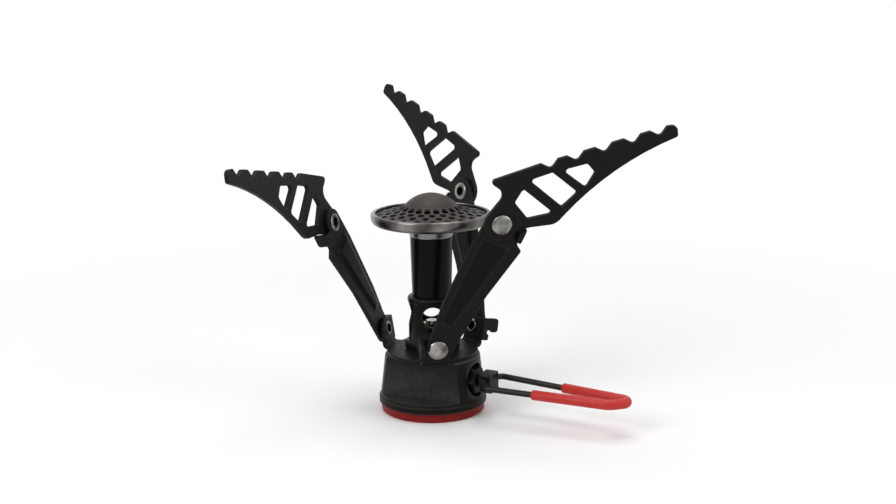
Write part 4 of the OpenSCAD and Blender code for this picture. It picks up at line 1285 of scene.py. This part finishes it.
def tube_along(path, radius, sides=24, cap=0.3):
    """Round bar along a path of points in a plane, with eased ends."""
    first = unit(path[1] - path[0])
    last = unit(path[-1] - path[-2])
    ends = [(0, radius - cap), (0.3 * cap, radius - 0.3 * cap), (cap, radius)]
    rings = [(path[0] + first * d, first, r) for d, r in ends]
    rings += [(path[k], unit(path[k + 1] - path[k - 1]), radius) for k in range(1, len(path) - 1)]
    rings += [(path[-1] - last * d, last, r) for d, r in reversed(ends)]
    points = []
    for place, way, r in rings:
        across = Vector((way.y, -way.x, 0))
        for s in range(sides):
            spot = polar(r, 2 * math.pi * s / sides, 0)
            points.append(place + spot.x * across + Vector((0, 0, spot.y)))
    faces = skin(list(range(0, len(points), sides)), sides)
    faces.append(tuple(range(sides))[::-1])
    faces.append(tuple(range(len(points) - sides, len(points))))
    return points, faces


HANDLE_LEN = 46.6
HANDLE_DROOP = math.radians(1)
PIN_END = 0.8
PIN_BEND_R = 2.4
NEAR_BEND_R = 5.0
FAR_BEND_R = 2.0
END_HALF = 3.1
END_SLANT = math.radians(47)
LEG_TAPER = math.radians(4.5)
SLEEVE_R = 1.65
SLEEVE_NEAR = 17.5
SLEEVE_FAR = 23.9
leg_start = PIN_BEND_R * (1 + math.sin(LEG_TAPER))
leg_half = END_HALF + (HANDLE_LEN - leg_start) * math.tan(LEG_TAPER)


def leg_y(x):
    """Distance of a leg from the handle's middle line, at a place along the handle."""
    return leg_half - (x - leg_start) * math.tan(LEG_TAPER)


def end_corner(side):
    """Corner where a leg's line meets the slanted end, on the near side at -1 or the far side at 1."""
    half = END_HALF / (1 + side * math.tan(END_SLANT) * math.tan(LEG_TAPER))
    return HANDLE_LEN + side * half * math.tan(END_SLANT), side * half


def handle_path(near_leg, far_leg):
    """Middle line of the wire, from the corners of its near leg round the end to those of its far leg."""
    corners = [*near_leg, (*end_corner(-1), NEAR_BEND_R), (*end_corner(1), FAR_BEND_R), *far_leg]
    return [p.to_3d() for p in rounded(corners, 16, closed=False, support=0)]


at_handle = at_pivot @ Matrix.Rotation(HANDLE_DROOP, 4, "Y")
wire = tube_along(handle_path([(0, -PIN_END, 0), (0, -leg_y(0), PIN_BEND_R)],
                              [(0, leg_y(0), PIN_BEND_R), (0, PIN_END, 0)]), WIRE_R)
dark_wire = coat("dark_wire", (0.015, 0.0137, 0.012), (0.024, 0.022, 0.0195), 380, (1500, 0.28, 0.48),
                 (4500, 0.004), metallic=0.5, specular=0.2)
fit("wire_handle", new_mesh("handle_wire", wire, at_handle), dark_wire, "handle", "dark_steel",
    "handle_wire")
grip = tube_along(handle_path([(SLEEVE_NEAR, -leg_y(SLEEVE_NEAR), 0)],
                              [(SLEEVE_FAR, leg_y(SLEEVE_FAR), 0)]), SLEEVE_R, sides=28, cap=0.35)
sleeve_red = coat("sleeve_red", (0.44, 0.02, 0.015), (0.52, 0.028, 0.021), 240, (1300, 0.3, 0.5),
                  (3600, 0.005), specular=0.3)
fit("red_handle_sleeve", new_mesh("handle_sleeve", grip, at_handle), sleeve_red, "handle", "red_sleeve",
    "handle_sleeve")

# Floor and light
# A wide white floor that fades into a white surround, so that only the stove's shadow shows on it.
# Three soft square lamps stand round the stove: one above, one at the front left and one at the right.


def seen_rays(finish):
    """1 for what the camera sees, straight or by reflection, and 0 for the light that falls on things."""
    rays = add(finish, "LightPath", {})
    seen = rays.outputs["Is Camera Ray"]
    for name in ("Is Glossy Ray", "Is Transmission Ray"):
        seen = add(finish, "Math", {0: seen, 1: rays.outputs[name]}, operation="MAXIMUM").outputs[0]
    return seen


FADE_FROM = 0.1
FADE_TO = 0.32


def white_floor():
    finish = new_finish("white_floor", (0.95, 0.95, 0.95), 0.9, specular=0.0)
    out = add(finish, "VectorMath", {0: place_of(finish)}, operation="LENGTH").outputs["Value"]
    fade = add(finish, "MapRange", {"Value": out, "From Min": FADE_FROM, "From Max": FADE_TO},
               interpolation_type="SMOOTHSTEP").outputs["Result"]
    share = add(finish, "Math", {0: fade, 1: seen_rays(finish)}, operation="MULTIPLY").outputs[0]
    glow = add(finish, "Emission", {"Color": (1, 1, 1, 1), "Strength": 1.0})
    tree = finish.node_tree
    matt = tree.nodes["Principled BSDF"].outputs[0]
    mix = add(finish, "MixShader", {0: share, 1: matt, 2: glow.outputs[0]})
    tree.links.new(mix.outputs[0], tree.nodes["Material Output"].inputs["Surface"])
    return finish


FLOOR_SIZE = 30.0
corners = [(x * FLOOR_SIZE, y * FLOOR_SIZE, 0) for x, y in ((-1, -1), (1, -1), (1, 1), (-1, 1))]
floor_mesh = bpy.data.meshes.new("floor")
floor_mesh.from_pydata(corners, [], [(0, 1, 2, 3)])
floor_mesh.materials.append(white_floor())
floor = bpy.data.objects.new("floor", floor_mesh)
bpy.context.scene.collection.objects.link(floor)

FILL = 0.38
world = bpy.data.worlds.new("white_surround")
world.use_nodes = True
bpy.context.scene.world = world
surround = world.node_tree.nodes["Background"]
strength = add(world, "MapRange", {"Value": seen_rays(world), "To Min": FILL, "To Max": 1.0})
world.node_tree.links.new(strength.outputs["Result"], surround.inputs["Strength"])
surround.inputs["Color"].default_value = (1, 1, 1, 1)

VIEW_TURN = math.radians(27.5)
LAMP_AIM = Vector((0, 0, 0.05))
view_turn = Matrix.Rotation(VIEW_TURN, 4, "Z")
# Each lamp's place seen from the camera, its size in metres and its power in watts.
for name, place, size, power in (("top", (0.0, 0.1, 0.95), 0.7, 4.5), ("key", (-0.6, -0.55, 0.6), 0.5, 3.8),
                                 ("fill", (0.75, -0.3, 0.4), 0.4, 1.5)):
    light = bpy.data.lights.new(name, "AREA")
    light.size = size
    light.energy = power
    lamp = bpy.data.objects.new(name, light)
    lamp.location = view_turn @ Vector(place)
    lamp.rotation_euler = (LAMP_AIM - lamp.location).to_track_quat("-Z", "Y").to_euler()
    bpy.context.scene.collection.objects.link(lamp)

# Camera
# The photograph's viewpoint: in front and to the right of the stove, a little above it and rolled by
# half a degree. The place it looks at and the lens give the stove its place and size in the picture.
VIEW_RISE = math.radians(12.24)
VIEW_ROLL = math.radians(0.5)
VIEW_DIST = 458.7
AIM_ACROSS = 5.468
AIM_HEIGHT = 53.397
LENS = 55.95
aim = view_turn @ Vector((AIM_ACROSS, 0, AIM_HEIGHT))
back = view_turn @ Vector((0, -math.cos(VIEW_RISE), math.sin(VIEW_RISE)))
camera_data = bpy.data.cameras.new("camera")
camera_data.sensor_width = 36
camera_data.lens = LENS
camera_data.clip_start = 0.01
camera = bpy.data.objects.new("camera", camera_data)
camera.matrix_world = (Matrix.Translation((aim + back * VIEW_DIST) * MM)
                       @ (-back).to_track_quat("-Z", "Y").to_matrix().to_4x4()
                       @ Matrix.Rotation(-VIEW_ROLL, 4, "Z"))
bpy.context.scene.collection.objects.link(camera)
bpy.context.scene.camera = camera
bpy.context.scene.view_settings.view_transform = "Standard"
